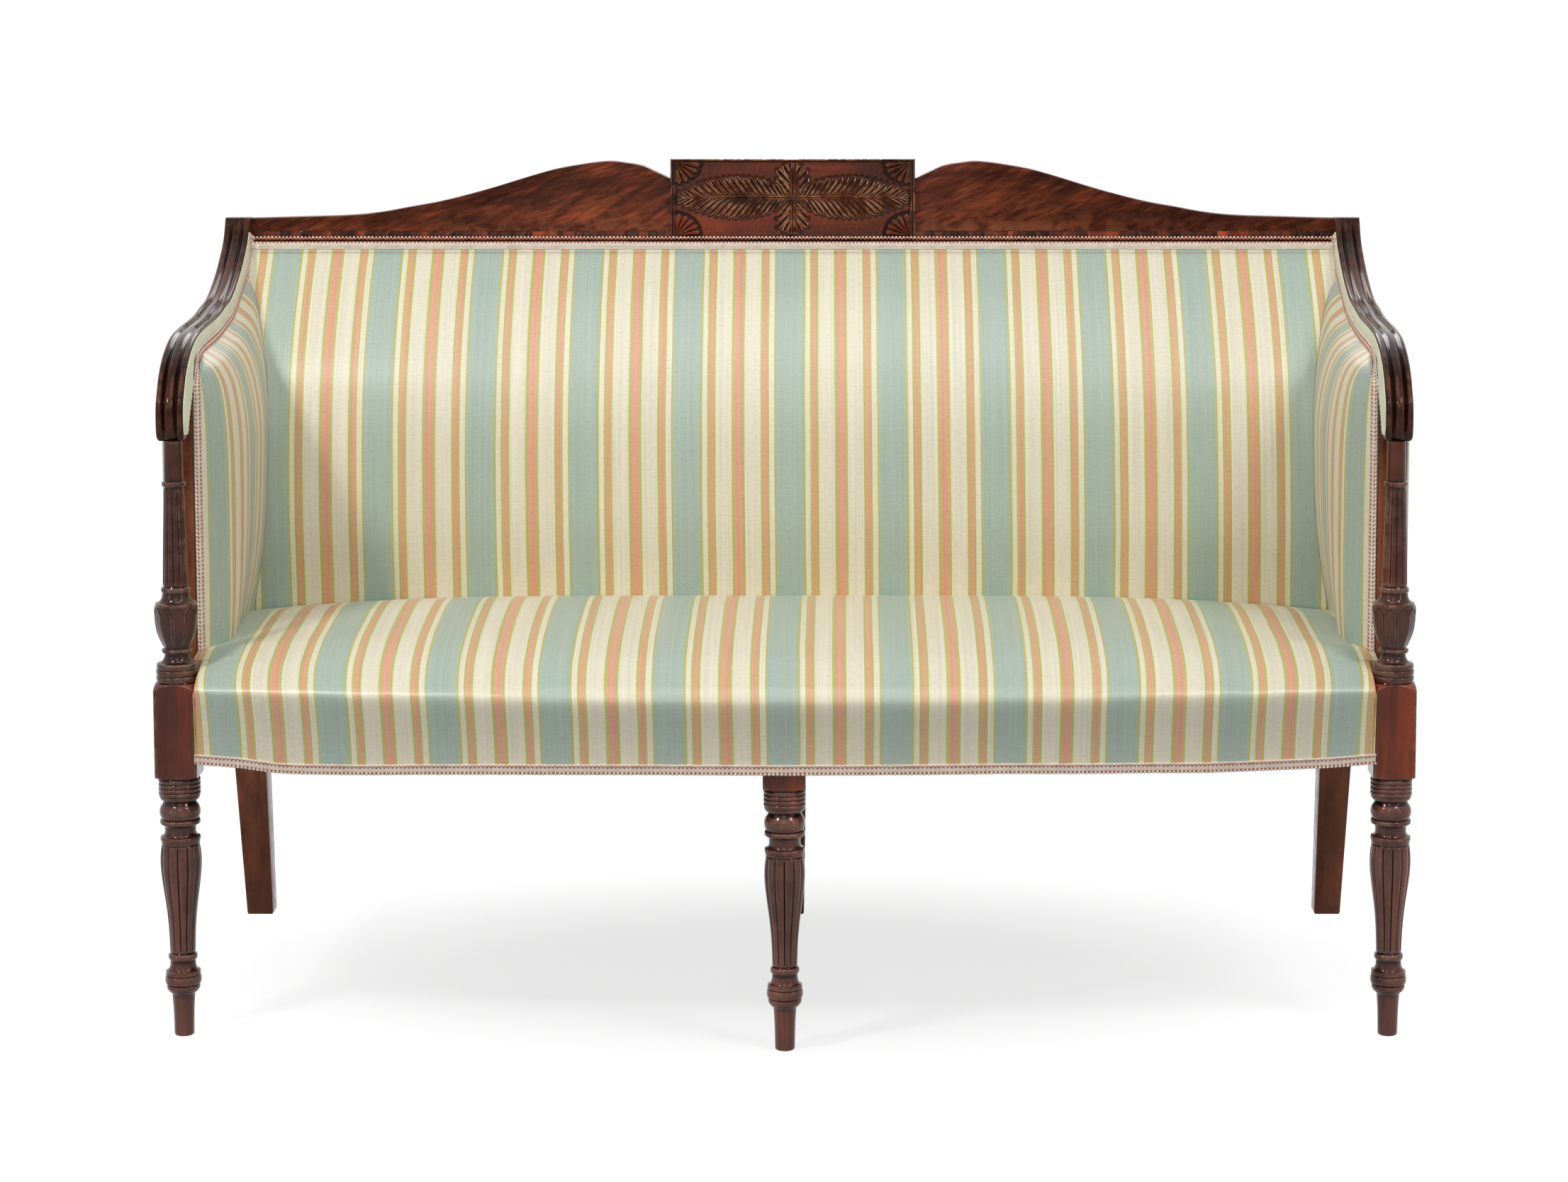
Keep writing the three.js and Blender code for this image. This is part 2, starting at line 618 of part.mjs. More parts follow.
function armGrid(side, columns, rowShares) {
  return rowShares.map((share) =>
    columns.map(([yTop, yBottom]) => {
      const top = armTopAt(yTop);
      const y = yTop + (yBottom - yTop) * share;
      const z = top + (seatTuck - top) * share;
      return at(side * armHalf(y, z), y, z);
    })
  );
}

addPair("arm_cover", (side) => {
  const grid = armGrid(side, armColumns, armRowShares);
  return slab(grid, offsetGrid(grid, coverThick, -side));
}, satin);

addPair("arm_stuffing", (side) => {
  const grid = armGrid(side, armColumns.slice(2, -1), armRowShares.slice(2));
  const front = offsetGrid(grid, coverThick + fit, -side);
  const back = front.map((row) => row.map((p) => at(side * (sideRailInner - fit), p.y, p.z)));
  return slab(front, back);
}, hair);

// Pale lining on the inner side of the arm rail, and the gimp below it and down the front edge
const cornerStep = 17; // step of the arm rail at which the gimp turns down
const firstStep = 3; // step of the arm rail just below the crest
const liningSeamShare = 0.02; // of the side, between the gimp and the lining
function railSide(side, step, share, proud) {
  const top = armTopCurve.getPoint(step / armSteps);
  const point = armUnderCurve.getPoint(step / armSteps).lerp(top, share);
  return at(side * (armInnerAt(top.y) - fit - proud), point.y, point.z + fit);
}

addPair("arm_lining", (side) => {
  const rings = [];
  for (let step = firstStep; step < armSteps; step++) {
    const low = step > cornerStep + 2 ? sideEdgeShare / 2 : gimpEdgeShare + liningSeamShare;
    rings.push([
      railSide(side, step, low, 0), railSide(side, step, liningTopShare, 0),
      railSide(side, step, liningTopShare, liningThick), railSide(side, step, low, liningThick),
    ]);
  }
  return loft(rings);
}, paleGreen);

addPair("arm_gimp", (side) => {
  const rings = [];
  for (let step = firstStep; step <= cornerStep; step++) {
    rings.push([
      railSide(side, step, sideEdgeShare, 0), railSide(side, step, gimpEdgeShare, 0),
      railSide(side, step, gimpEdgeShare, gimpThick), railSide(side, step, sideEdgeShare, gimpThick),
    ]);
  }
  const proud = at(-gimpThick / Math.SQRT2, -gimpThick / Math.SQRT2, 0);
  for (const z of [gimpTurn, (gimpTurn + gimpFoot) / 2, gimpFoot]) {
    const ring = [
      gimpInner.clone(), gimpOuter.clone(), gimpOuter.clone().add(proud), gimpInner.clone().add(proud),
    ];
    rings.push(ring.map((p) => at(side * p.x, p.y, z)));
  }
  return loft(rings);
}, braid);

// Back cover. Its profile gives the front surface at the middle: heights as shares from the tuck to the
// crest, depths as shares from the back's foremost place to the front of the posts below the crest.
const backProfileShares = [
  [0, 0.044], [0.134, 0.033], [0.291, 0], [0.395, 0.022], [0.505, 0.054], [0.614, 0.114], [0.72, 0.239],
  [0.822, 0.451], [0.875, 0.571], [0.928, 0.696], [0.956, 0.826], [0.977, 0.941], [0.998, 0.987],
];
const backHeight = crestBottom - seatTuck;
const backFront = seatBack - backSwell;
const backDepth = backAt(crestBottom) - backFront;
const profileAt = curveThrough(backProfileShares);
const backProfile = (z) => backFront + backDepth * profileAt((z - seatTuck) / backHeight);
// Heights of the cover's rows; the second is the lower edge of the gimp
const backTop = seatTuck + backProfileShares[backProfileShares.length - 1][0] * backHeight;
const backRowShares = [0.952, 0.916, 0.865, 0.802, 0.704, 0.586, 0.448, 0.291, 0.134];
const backRows = [
  backTop, backTop - gimpWidth, ...backRowShares.map((share) => seatTuck + share * backHeight),
  postKnee, seatTuck + coverThick,
];
const backColumns = 8;
const backTuck = 24;
const backSamples = 6;
function backHalf(z) {
  let half = Infinity;
  for (let i = 0; i <= backSamples; i++) {
    const y = backProfile(z) + ((backAt(z) - backProfile(z)) * i) / backSamples;
    half = Math.min(half, armHalf(y, z));
  }
  return half - softGap;
}

function backGrid(inset, withTuck) {
  return backRows.map((z) => {
    const half = backHalf(z) - inset;
    const row = [];
    for (let c = 0; c <= backColumns; c++) {
      row.push(at(half * ((2 * c) / backColumns - 1), backProfile(z), z));
    }
    const tuck = Math.min(backTuck, backAt(z) - backProfile(z) - coverThick);
    if (withTuck && tuck > 0) {
      row.unshift(at(-half, backProfile(z) + tuck, z));
      row.push(at(half, backProfile(z) + tuck, z));
    }
    return row;
  });
}
const backFace = backGrid(0, true);
add("back_cover", slab(backFace, offsetGrid(backFace, coverThick, 1)), satin);

const webFront = 2 * fit + webThick;
const backPadFace = offsetGrid(backGrid(coverThick + fit, false), coverThick + fit, 1);
const backPadRear = backPadFace.map((row) => row.map((p) => at(p.x, backAt(p.z) - webFront - fit, p.z)));
add("back_stuffing", slab(backPadFace, backPadRear), hair);

// Seat: the cover runs from the hem, over the rounded front edge and the crown, and is tucked in behind.
// The rise is given as pairs: how far behind the front, and how much of the crown's rise, both as shares.
const seatDepth = seatBack + seatFrontSet + seatBow;
const seatRiseShares = [
  [0, 0], [0.008, 0.16], [0.022, 0.31], [0.04, 0.44], [0.067, 0.56], [0.105, 0.66], [0.152, 0.75],
  [0.2125, 0.84], [0.283, 0.9], [0.364, 0.95], [0.455, 0.99], [0.567, 1], [0.688, 0.95], [0.81, 0.82],
  [0.911, 0.69], [1, 0.56],
];
const riseAt = curveThrough(seatRiseShares);
const seatRise = (run) => riseAt(run / seatDepth);
const seatColumns = 12;
const seatSideShare = 0.5; // share of the crown that is left beside the arms
const blockClear = legInner - fit;
const notchHalf = stileInner - coverThick;
const notchRun = blockBack + seatFrontSet + 2 * fit; // the cover is cut round the back of the block
const seatFrontShares = [0, 0.008, 0.022, 0.0445, 0.077]; // rows in front of the cut, of the seat's depth
const seatTopShares = [0.182, 0.2125, 0.253, 0.324, 0.425, 0.567, 0.7085, 0.87, 1];
const seatRows = [
  ...seatFrontShares.map((share) => share * seatDepth), notchRun, notchRun + 4 * fit,
  ...seatTopShares.map((share) => share * seatDepth),
];

function seatHalf(y, behindBlock) {
  if (y < blockBack + 4 * fit) return blockClear;
  if (y < gimpOuter.y) return behindBlock;
  return Math.min(behindBlock, armHalf(y, armSeatHeight) - softGap);
}

// Near the front a row follows the bow; towards the back it straightens out.
function seatPoint(across, run, rearInset) {
  const front = bowAt(across * blockClear);
  const edge = bowAt(blockClear);
  const rear = seatBack - rearInset;
  const straight = edge + run * ((rear - edge) / seatDepth);
  const follow = Math.max(1 - run / seatDepth, 0);
  const edgeY = run < notchRun + 5 * fit ? edge + run : straight + (run - straight + edge) * follow;
  const y = edgeY + (front - edge) * follow;
  return [seatHalf(edgeY, rearInset > 0 ? blockClear : notchHalf) * across, y];
}

function seatGrid(inset, withTuck) {
  const hemRows = withTuck ? [hemHeight, (hemHeight + seatEdgeHeight) / 2] : [railTop + 2 * coverThick];
  const rows = hemRows.map((z) => [z, 0]);
  for (const run of seatRows) rows.push([null, run]);
  const grid = rows.map(([z, run]) => {
    const row = [];
    for (let c = 0; c <= seatColumns; c++) {
      const across = (2 * c) / seatColumns - 1;
      const [x, y] = seatPoint(across, run, inset);
      const crown = 1 - (1 - seatSideShare) * across ** 4;
      const squeeze = 1 - inset / legInner;
      row.push(at(x * squeeze, y, z ?? seatEdgeHeight + seatCrown * crown * seatRise(run)));
    }
    if (withTuck) {
      const [left, right] = [row[0].clone(), row[row.length - 1].clone()];
      if (run > 0) {
        left.z = seatTuck;
        right.z = seatTuck;
      } else {
        row[0].x += coverThick * 2;
        row[row.length - 1].x -= coverThick * 2;
      }
      row.unshift(left);
      row.push(right);
    }
    return row;
  });
  if (withTuck) grid.push(grid[grid.length - 1].map((p) => at(p.x, p.y, seatTuck)));
  return grid;
}
const seatFace = seatGrid(0, true);
add("seat_cover", slab(seatFace, offsetGrid(seatFace, coverThick, -1)), satin);

const seatPadTop = offsetGrid(seatGrid(2 * coverThick, false), coverThick + fit, -1);
const seatPadBase = seatPadTop.map((row) => row.map((p) => at(p.x, p.y, railTop + webThick + 2 * fit)));
add("seat_stuffing", slab(seatPadTop, seatPadBase), hair);

// Webbing: straps laid both ways on top of the seat rails, and on the front of the back frame
function strapLattice(straps) {
  const solids = straps.map(toSolid);
  return fromSolid(solids.slice(1).reduce((sum, next) => sum.add(next), solids[0]));
}
const seatStraps = { across: 3, along: 7 };
const webEdge = 10; // the straps stop this far inside the outer edges of the rails
const seatWebLow = railTop + fit;

const straps = [];
for (let i = 0; i < seatStraps.across; i++) {
  const y = stileSet + stileDepth + webWidth + ((rearLegSet - stileSet - 3 * webWidth) * i) / seatStraps.across;
  const reach = stileOuter - webEdge;
  straps.push(box(-reach, reach, y - webWidth / 2, y + webWidth / 2, seatWebLow, seatWebLow + webThick));
}
for (let i = 0; i < seatStraps.along; i++) {
  const x = (legInner - webWidth) * ((2 * (i + 0.5)) / seatStraps.along - 1);
  const front = bowAt(Math.max(Math.abs(x) - webWidth / 2, 0)) + seatBow / seatStraps.along + webEdge;
  straps.push(box(
    x - webWidth / 2, x + webWidth / 2, front, rearRailBack - webEdge, seatWebLow, seatWebLow + webThick));
}
add("seat_webbing", strapLattice(straps), jute);

const backStraps = { across: 2, along: 5 };
const backWebLow = tackBottom + webEdge;
const backWebTop = crestBottom - webEdge;
const webAhead = -webThick - fit;
const backWebs = [];
for (let i = 0; i < backStraps.across; i++) {
  const z = tackTop + ((backWebTop - tackTop) * (i + 0.5)) / backStraps.across;
  const reach = postInner + webEdge;
  backWebs.push(rakedBox(-reach, reach, z - webWidth / 2, z + webWidth / 2, webAhead, webThick));
}
for (let i = 0; i < backStraps.along; i++) {
  const x = (postInner - webWidth) * ((2 * (i + 0.5)) / backStraps.along - 1);
  backWebs.push(rakedBox(x - webWidth / 2, x + webWidth / 2, backWebLow, backWebTop, webAhead, webThick));
}
add("back_webbing", strapLattice(backWebs), jute);

// Gimp along the seat hem and under the crest
const gimpOverlap = 2; // the seat gimp runs this far on to the blocks
const gimpDrop = 1; // and hangs this far below the hem
function seatGimp() {
  const reach = legInner + gimpOverlap;
  const low = hemHeight - gimpDrop;
  const high = low + gimpWidth;
  const rings = [];
  for (let c = 0; c <= seatColumns; c++) {
    const x = reach * ((2 * c) / seatColumns - 1);
    const back = bowAt(x) - fit;
    rings.push([
      at(x, back, low), at(x, back, high), at(x, back - gimpThick, high), at(x, back - gimpThick, low),
    ]);
  }
  return loft(rings);
}
add("seat_gimp", seatGimp(), braid);

const [backGimpTop, backGimpLow] = backRows;
function backGimp() {
  const half = backHalf(backGimpLow) - gimpThick;
  const top = backProfile(backGimpTop) - fit;
  const low = backProfile(backGimpLow) - fit;
  const ring = (x) => [
    at(x, low - gimpThick, backGimpLow), at(x, top - 2 * gimpThick, backGimpTop),
    at(x, top - gimpThick, backGimpTop), at(x, low, backGimpLow),
  ];
  return loft([ring(-half), ring(half)]);
}
add("back_gimp", backGimp(), braid);

// Outside covers: plain panels of the same satin over the outer arms and the back
function outsideArm(side) {
  const bottom = railBottom;
  const gap = 2 * fit;
  const below = underLine.filter((p) => p.y < backAt(p.z) - fit && p.y > stileSet);
  const corner = below[0].z - gap;
  const outline = new THREE.Shape();
  outline.moveTo(blockBack + fit, bottom);
  outline.lineTo(rearLegSet - fit, bottom);
  outline.lineTo(rearLegSet - fit, postKnee);
  outline.lineTo(backAt(corner) - fit, corner);
  for (const point of below) outline.lineTo(point.y, point.z - gap);
  outline.lineTo(stileSet, underAt(stileSet) - gap);
  outline.lineTo(stileSet, railTop);
  outline.lineTo(blockBack + fit, railTop);
  const panel = new THREE.ExtrudeGeometry(outline, { depth: coverThick, bevelEnabled: false });
  panel.rotateX(Math.PI / 2).rotateZ(Math.PI / 2);
  return panel.translate(side > 0 ? stileOuter + fit : -stileOuter - fit - coverThick, 0, 0);
}
addPair("outside_arm_cover", outsideArm, satin);

const outsideInset = 1; // the outside back lies this far inside the rear faces of the posts
function outsideBack() {
  const depth = curveThrough([[postKnee, rearPostDepth], [crestBottom, rearTopDepth]]);
  const half = postInner - fit;
  const levels = [railBottom, postKnee, (postKnee + crestBottom) / 2, crestBottom - fit];
  return loft(levels.map((z) => {
    const rear = backAt(z) + depth(z) - outsideInset;
    return rectangleRing(-half, half, rear - coverThick, rear, z);
  }));
}
add("outside_back_cover", outsideBack(), satin);

// Cambric under the seat, cut round the legs
const cambricThick = 1;
function cambricOutline() {
  const clear = 2 * fit;
  const block = legInner - clear;
  const half = [];
  const legHalf = blockSize / 2 + clear;
  half.push([legHalf, middleBack + clear]);
  for (let i = 0; i <= bowSteps; i++) {
    const x = legHalf + ((block - legHalf) * i) / bowSteps;
    half.push([x, bowAt(x) + coverThick + 2 * clear]);
  }
  half.push([block, blockBack + clear], [stileOuter - clear, blockBack + clear]);
  half.push([stileOuter - clear, rearLegSet - clear], [postInner - clear, rearLegSet - clear]);
  half.push([postInner - clear, rearRailBack]);
  half.push([rearMiddleWidth / 2 + clear, rearRailBack], [rearMiddleWidth / 2 + clear, rearLegSet - clear]);
  const outline = new THREE.Shape();
  half.forEach(([x, y], i) => (i ? outline.lineTo(x, y) : outline.moveTo(x, y)));
  [...half].reverse().forEach(([x, y]) => outline.lineTo(-x, y));
  return outline;
}
const cambricSheet = new THREE.ExtrudeGeometry(cambricOutline(), { depth: cambricThick, bevelEnabled: false });
add("dust_cover", cambricSheet.translate(0, 0, railBottom - fit - cambricThick), cambric);

// The origin is the middle of the settee's footprint, on the floor.
const bounds = new THREE.Box3().setFromObject(root);
for (const mesh of root.children) {
  mesh.position.y = -(bounds.min.y + bounds.max.y) / 2;
}

export default root;
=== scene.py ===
import math
import random

import bpy
import numpy as np
from mathutils import Matrix, Vector


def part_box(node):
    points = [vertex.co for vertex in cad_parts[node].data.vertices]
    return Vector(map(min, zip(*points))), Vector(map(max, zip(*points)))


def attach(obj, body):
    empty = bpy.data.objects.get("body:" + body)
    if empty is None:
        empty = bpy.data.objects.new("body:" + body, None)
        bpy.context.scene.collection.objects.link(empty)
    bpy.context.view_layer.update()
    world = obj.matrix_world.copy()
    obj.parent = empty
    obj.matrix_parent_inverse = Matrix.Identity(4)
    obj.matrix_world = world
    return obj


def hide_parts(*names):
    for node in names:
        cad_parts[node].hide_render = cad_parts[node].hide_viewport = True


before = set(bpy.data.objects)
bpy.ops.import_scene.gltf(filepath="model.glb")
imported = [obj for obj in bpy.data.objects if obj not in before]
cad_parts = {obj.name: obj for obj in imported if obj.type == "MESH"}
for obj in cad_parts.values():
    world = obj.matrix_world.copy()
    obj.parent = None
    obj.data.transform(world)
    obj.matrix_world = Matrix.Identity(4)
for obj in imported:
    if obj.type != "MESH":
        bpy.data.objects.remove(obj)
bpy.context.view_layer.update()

# The settee stands on three front legs and three rear legs. Lengths are in millimetres, across from the
# middle, back from the axis of the corner legs and up from the floor, until a mesh is made in metres.
# GAP is what touching solids keep between them.
mm = 0.001
GAP = 0.3
SIDES = ((-1, "left"), (1, "right"))
corner_low, corner_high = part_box("front_post_right")
LEG_PLACE = (corner_low.x + corner_high.x) / 2 / mm
LEG_LINE = (corner_low.y + corner_high.y) / 2
LEG_HEIGHT, BLOCK, BLOCK_TOP, BLOCK_CROWN = 320.0, 50.8, 435.0, 10.0
COLUMN_TOP = corner_high.z / mm
MIDDLE_LEG_SET = -(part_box("front_middle_leg")[0].y + BLOCK / 2 * mm - LEG_LINE) / mm
MIDDLE_LEG_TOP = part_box("front_middle_leg")[1].z / mm


def in_place(points):
    """Millimetres from the leg line to metres in the frame."""
    return np.asarray(points, float) * mm + np.array([0.0, LEG_LINE, 0.0])


def linked(name, data):
    """An object with this data, linked to the scene."""
    made = bpy.data.objects.new(name, data)
    bpy.context.scene.collection.objects.link(made)
    return made


def piece(name, points, faces, finish, crease=35.0):
    """A closed mesh with its faces turned outwards, smooth but for edges sharper than the crease."""
    points = np.asarray(points, float).reshape(-1, 3)
    corners = np.array([(f[0], f[i], f[i + 1]) for f in faces for i in range(1, len(f) - 1)], int)
    a, b, c = (points[corners[:, i]] for i in range(3))
    if float((a * np.cross(b, c)).sum()) < 0:
        faces = [face[::-1] for face in faces]
    mesh = bpy.data.meshes.new(name)
    mesh.from_pydata(points.tolist(), [], [list(map(int, face)) for face in faces])
    mesh.update()
    mesh.shade_smooth()
    mesh.set_sharp_from_angle(angle=math.radians(crease))
    mesh.materials.append(finish)
    return linked(name, mesh)


def rings_to_faces(rings, around):
    """Faces of a tube through rings of points, with a cap on each end."""
    faces = []
    for r in range(rings - 1):
        for i in range(around):
            a, b = r * around + i, r * around + (i + 1) % around
            faces.append([a, b, b + around, a + around])
    faces.append(list(range(around))[::-1])
    faces.append([(rings - 1) * around + i for i in range(around)])
    return faces


def ring_piece(name, rings, finish, crease):
    """A closed mesh in the frame, through rings of points in millimetres."""
    points = in_place(np.array(rings).reshape(-1, 3))
    return piece(name, points, rings_to_faces(len(rings), len(rings[0])), finish, crease)


def values_of(items, key, width=1, kind=float):
    """One property of every item of a mesh as an array, with a row for each item."""
    values = np.empty(len(items) * width, kind)
    items.foreach_get(key, values)
    return values.reshape(-1, width)


def mark_hollows(made, spread=2):
    """Stores how hollow the wood is at each vertex: above 0 the finish darkens it as soiling and painted
    shade, below 0 it is rubbed pale as wear.
    """
    mesh = made.data
    count = len(mesh.vertices)
    places = values_of(mesh.vertices, "co", 3)
    normals = values_of(mesh.vertex_normals, "vector", 3)
    a, b = values_of(mesh.edges, "vertices", 2, int).T
    step = places[b] - places[a]
    step /= np.linalg.norm(step, axis=1, keepdims=True) + 1e-12
    hollow, shared = np.zeros(count), np.zeros(count)
    np.add.at(hollow, a, (normals[a] * step).sum(1))
    np.add.at(hollow, b, -(normals[b] * step).sum(1))
    np.add.at(shared, a, 1.0)
    np.add.at(shared, b, 1.0)
    hollow /= np.maximum(shared, 1.0)
    for _ in range(spread):
        near = np.zeros(count)
        np.add.at(near, a, hollow[b])
        np.add.at(near, b, hollow[a])
        hollow = 0.5 * hollow + 0.5 * near / np.maximum(shared, 1.0)
    layer = mesh.attributes.new("hollow", "FLOAT", "POINT")
    layer.data.foreach_set("value", hollow.astype(np.float32))
    return made


def on_frame(made, slot, *nodes):
    """The piece rides on the frame and stands for its CAD nodes, which it hides. The slot is not used."""
    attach(made, "root")
    if nodes:
        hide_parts(*nodes)
    return made


def colour_out(node):
    """The colour that a node gives; a mix node keeps it in its third socket."""
    return node.outputs[2 if node.bl_idname == "ShaderNodeMix" else 0]


class Finish:
    """A material written node by node, with its surface shader ready."""

    def __init__(self, name):
        self.material = bpy.data.materials.new(name)
        self.material.use_nodes = True
        self.tree = self.material.node_tree
        self.surface = self.tree.nodes["Principled BSDF"]

    def node(self, kind, **settings):
        """A new node with its settings; in_0 and the like set the constant on an input."""
        made = self.tree.nodes.new(kind)
        for key, value in settings.items():
            if key.startswith("in_"):
                made.inputs[int(key[3:])].default_value = value
            else:
                setattr(made, key, value)
        return made

    def join(self, source, target, out=0):
        """Links an output of one node to the first input of another, which it gives back."""
        self.tree.links.new(source.outputs[out], target.inputs[0])
        return target

    def ramp(self, source, *stops, out=0, kind="LINEAR"):
        """Colours by a node's value, through stops of a place and a colour."""
        made = self.node("ShaderNodeValToRGB")
        made.color_ramp.interpolation = kind
        elements = made.color_ramp.elements
        while len(elements) < len(stops):
            elements.new(0.5)
        for element, (place, colour) in zip(elements, stops):
            element.position = place
            element.color = (*colour, 1.0) if len(colour) == 3 else colour
        self.join(source, made, out)
        return made

    def noise(self, place, scale, detail=4.0, rough=0.55, stretch=(1, 1, 1), turn=(0, 0, 0), bend=0.0):
        """Noise on a place vector that is turned, then stretched."""
        mapped = self.node("ShaderNodeMapping", vector_type="TEXTURE")
        mapped.inputs["Scale"].default_value = [1.0 / part for part in stretch]
        mapped.inputs["Rotation"].default_value = turn
        self.join(place, mapped, PLACE_OUT.get(place.bl_idname, 0))
        made = self.node("ShaderNodeTexNoise")
        made.inputs["Scale"].default_value = scale
        made.inputs["Detail"].default_value = detail
        made.inputs["Roughness"].default_value = rough
        made.inputs["Distortion"].default_value = bend
        self.join(mapped, made)
        return made

    def blend(self, amount, first, second, mode="MIX", share=None):
        """Mixes two colours, each a node or a colour, by a node's value or a fixed share."""
        made = self.node("ShaderNodeMix", data_type="RGBA", blend_type=mode)
        if amount is None:
            made.inputs[0].default_value = share
        else:
            self.tree.links.new(amount.outputs[0], made.inputs[0])
        for socket, value in ((6, first), (7, second)):
            if isinstance(value, tuple):
                made.inputs[socket].default_value = (*value, 1.0)
            else:
                self.tree.links.new(colour_out(value), made.inputs[socket])
        return made

    def sums(self, operation, first, second, clamp=False):
        """A calculation on two values, each a node or a number."""
        made = self.node("ShaderNodeMath", operation=operation, use_clamp=clamp)
        for socket, value in ((0, first), (1, second)):
            if isinstance(value, (int, float)):
                made.inputs[socket].default_value = value
            else:
                self.tree.links.new(value.outputs[0], made.inputs[socket])
        return made

    def colour(self, source):
        """Lets a node colour the surface."""
        self.tree.links.new(colour_out(source), self.surface.inputs["Base Color"])

    def drive(self, socket, source):
        """Lets a node drive a socket of the surface shader."""
        self.tree.links.new(source.outputs[0], self.surface.inputs[socket])

    def constants(self, values):
        """Constants on sockets of the surface shader."""
        for socket, value in values.items():
            self.surface.inputs[socket].default_value = value

    def raise_by(self, height, strength, distance):
        """Raises the surface by a node's value, on top of what raises it already."""
        made = self.node("ShaderNodeBump")
        made.inputs["Strength"].default_value = strength
        made.inputs["Distance"].default_value = distance
        self.tree.links.new(height.outputs[0], made.inputs["Height"])
        before = self.surface.inputs["Normal"].links
        if before:
            self.tree.links.new(before[0].from_socket, made.inputs["Normal"])
        self.tree.links.new(made.outputs[0], self.surface.inputs["Normal"])


# Socket of each kind of place node that gives the place: object coordinates, or an attribute's vector.
PLACE_OUT = {"ShaderNodeTexCoord": 3, "ShaderNodeAttribute": 1}


def clouded(name, cloud, tones, thread, lines, share, roughness, bump, sheen=0.0):
    """A finish of soft clouds under fine threads or fibres, which raise its surface too."""
    made = Finish(name)
    place = made.node("ShaderNodeTexCoord")
    clouds, threads = made.noise(place, *cloud), made.noise(place, *thread)
    toned, lined = made.ramp(clouds, *tones), made.ramp(threads, *lines)
    made.colour(made.blend(None, toned, lined, mode="MULTIPLY", share=share))
    made.constants({"Roughness": roughness, "Sheen Weight": sheen})
    made.raise_by(threads, *bump)
    return made.material


def fibrous(name, noise, tones, roughness, bump):
    """A matt finish of fibres, darker between them."""
    made = Finish(name)
    fibres = made.noise(made.node("ShaderNodeTexCoord"), *noise)
    made.colour(made.ramp(fibres, *tones))
    made.constants({"Roughness": roughness})
    made.raise_by(fibres, *bump)
    return made.material


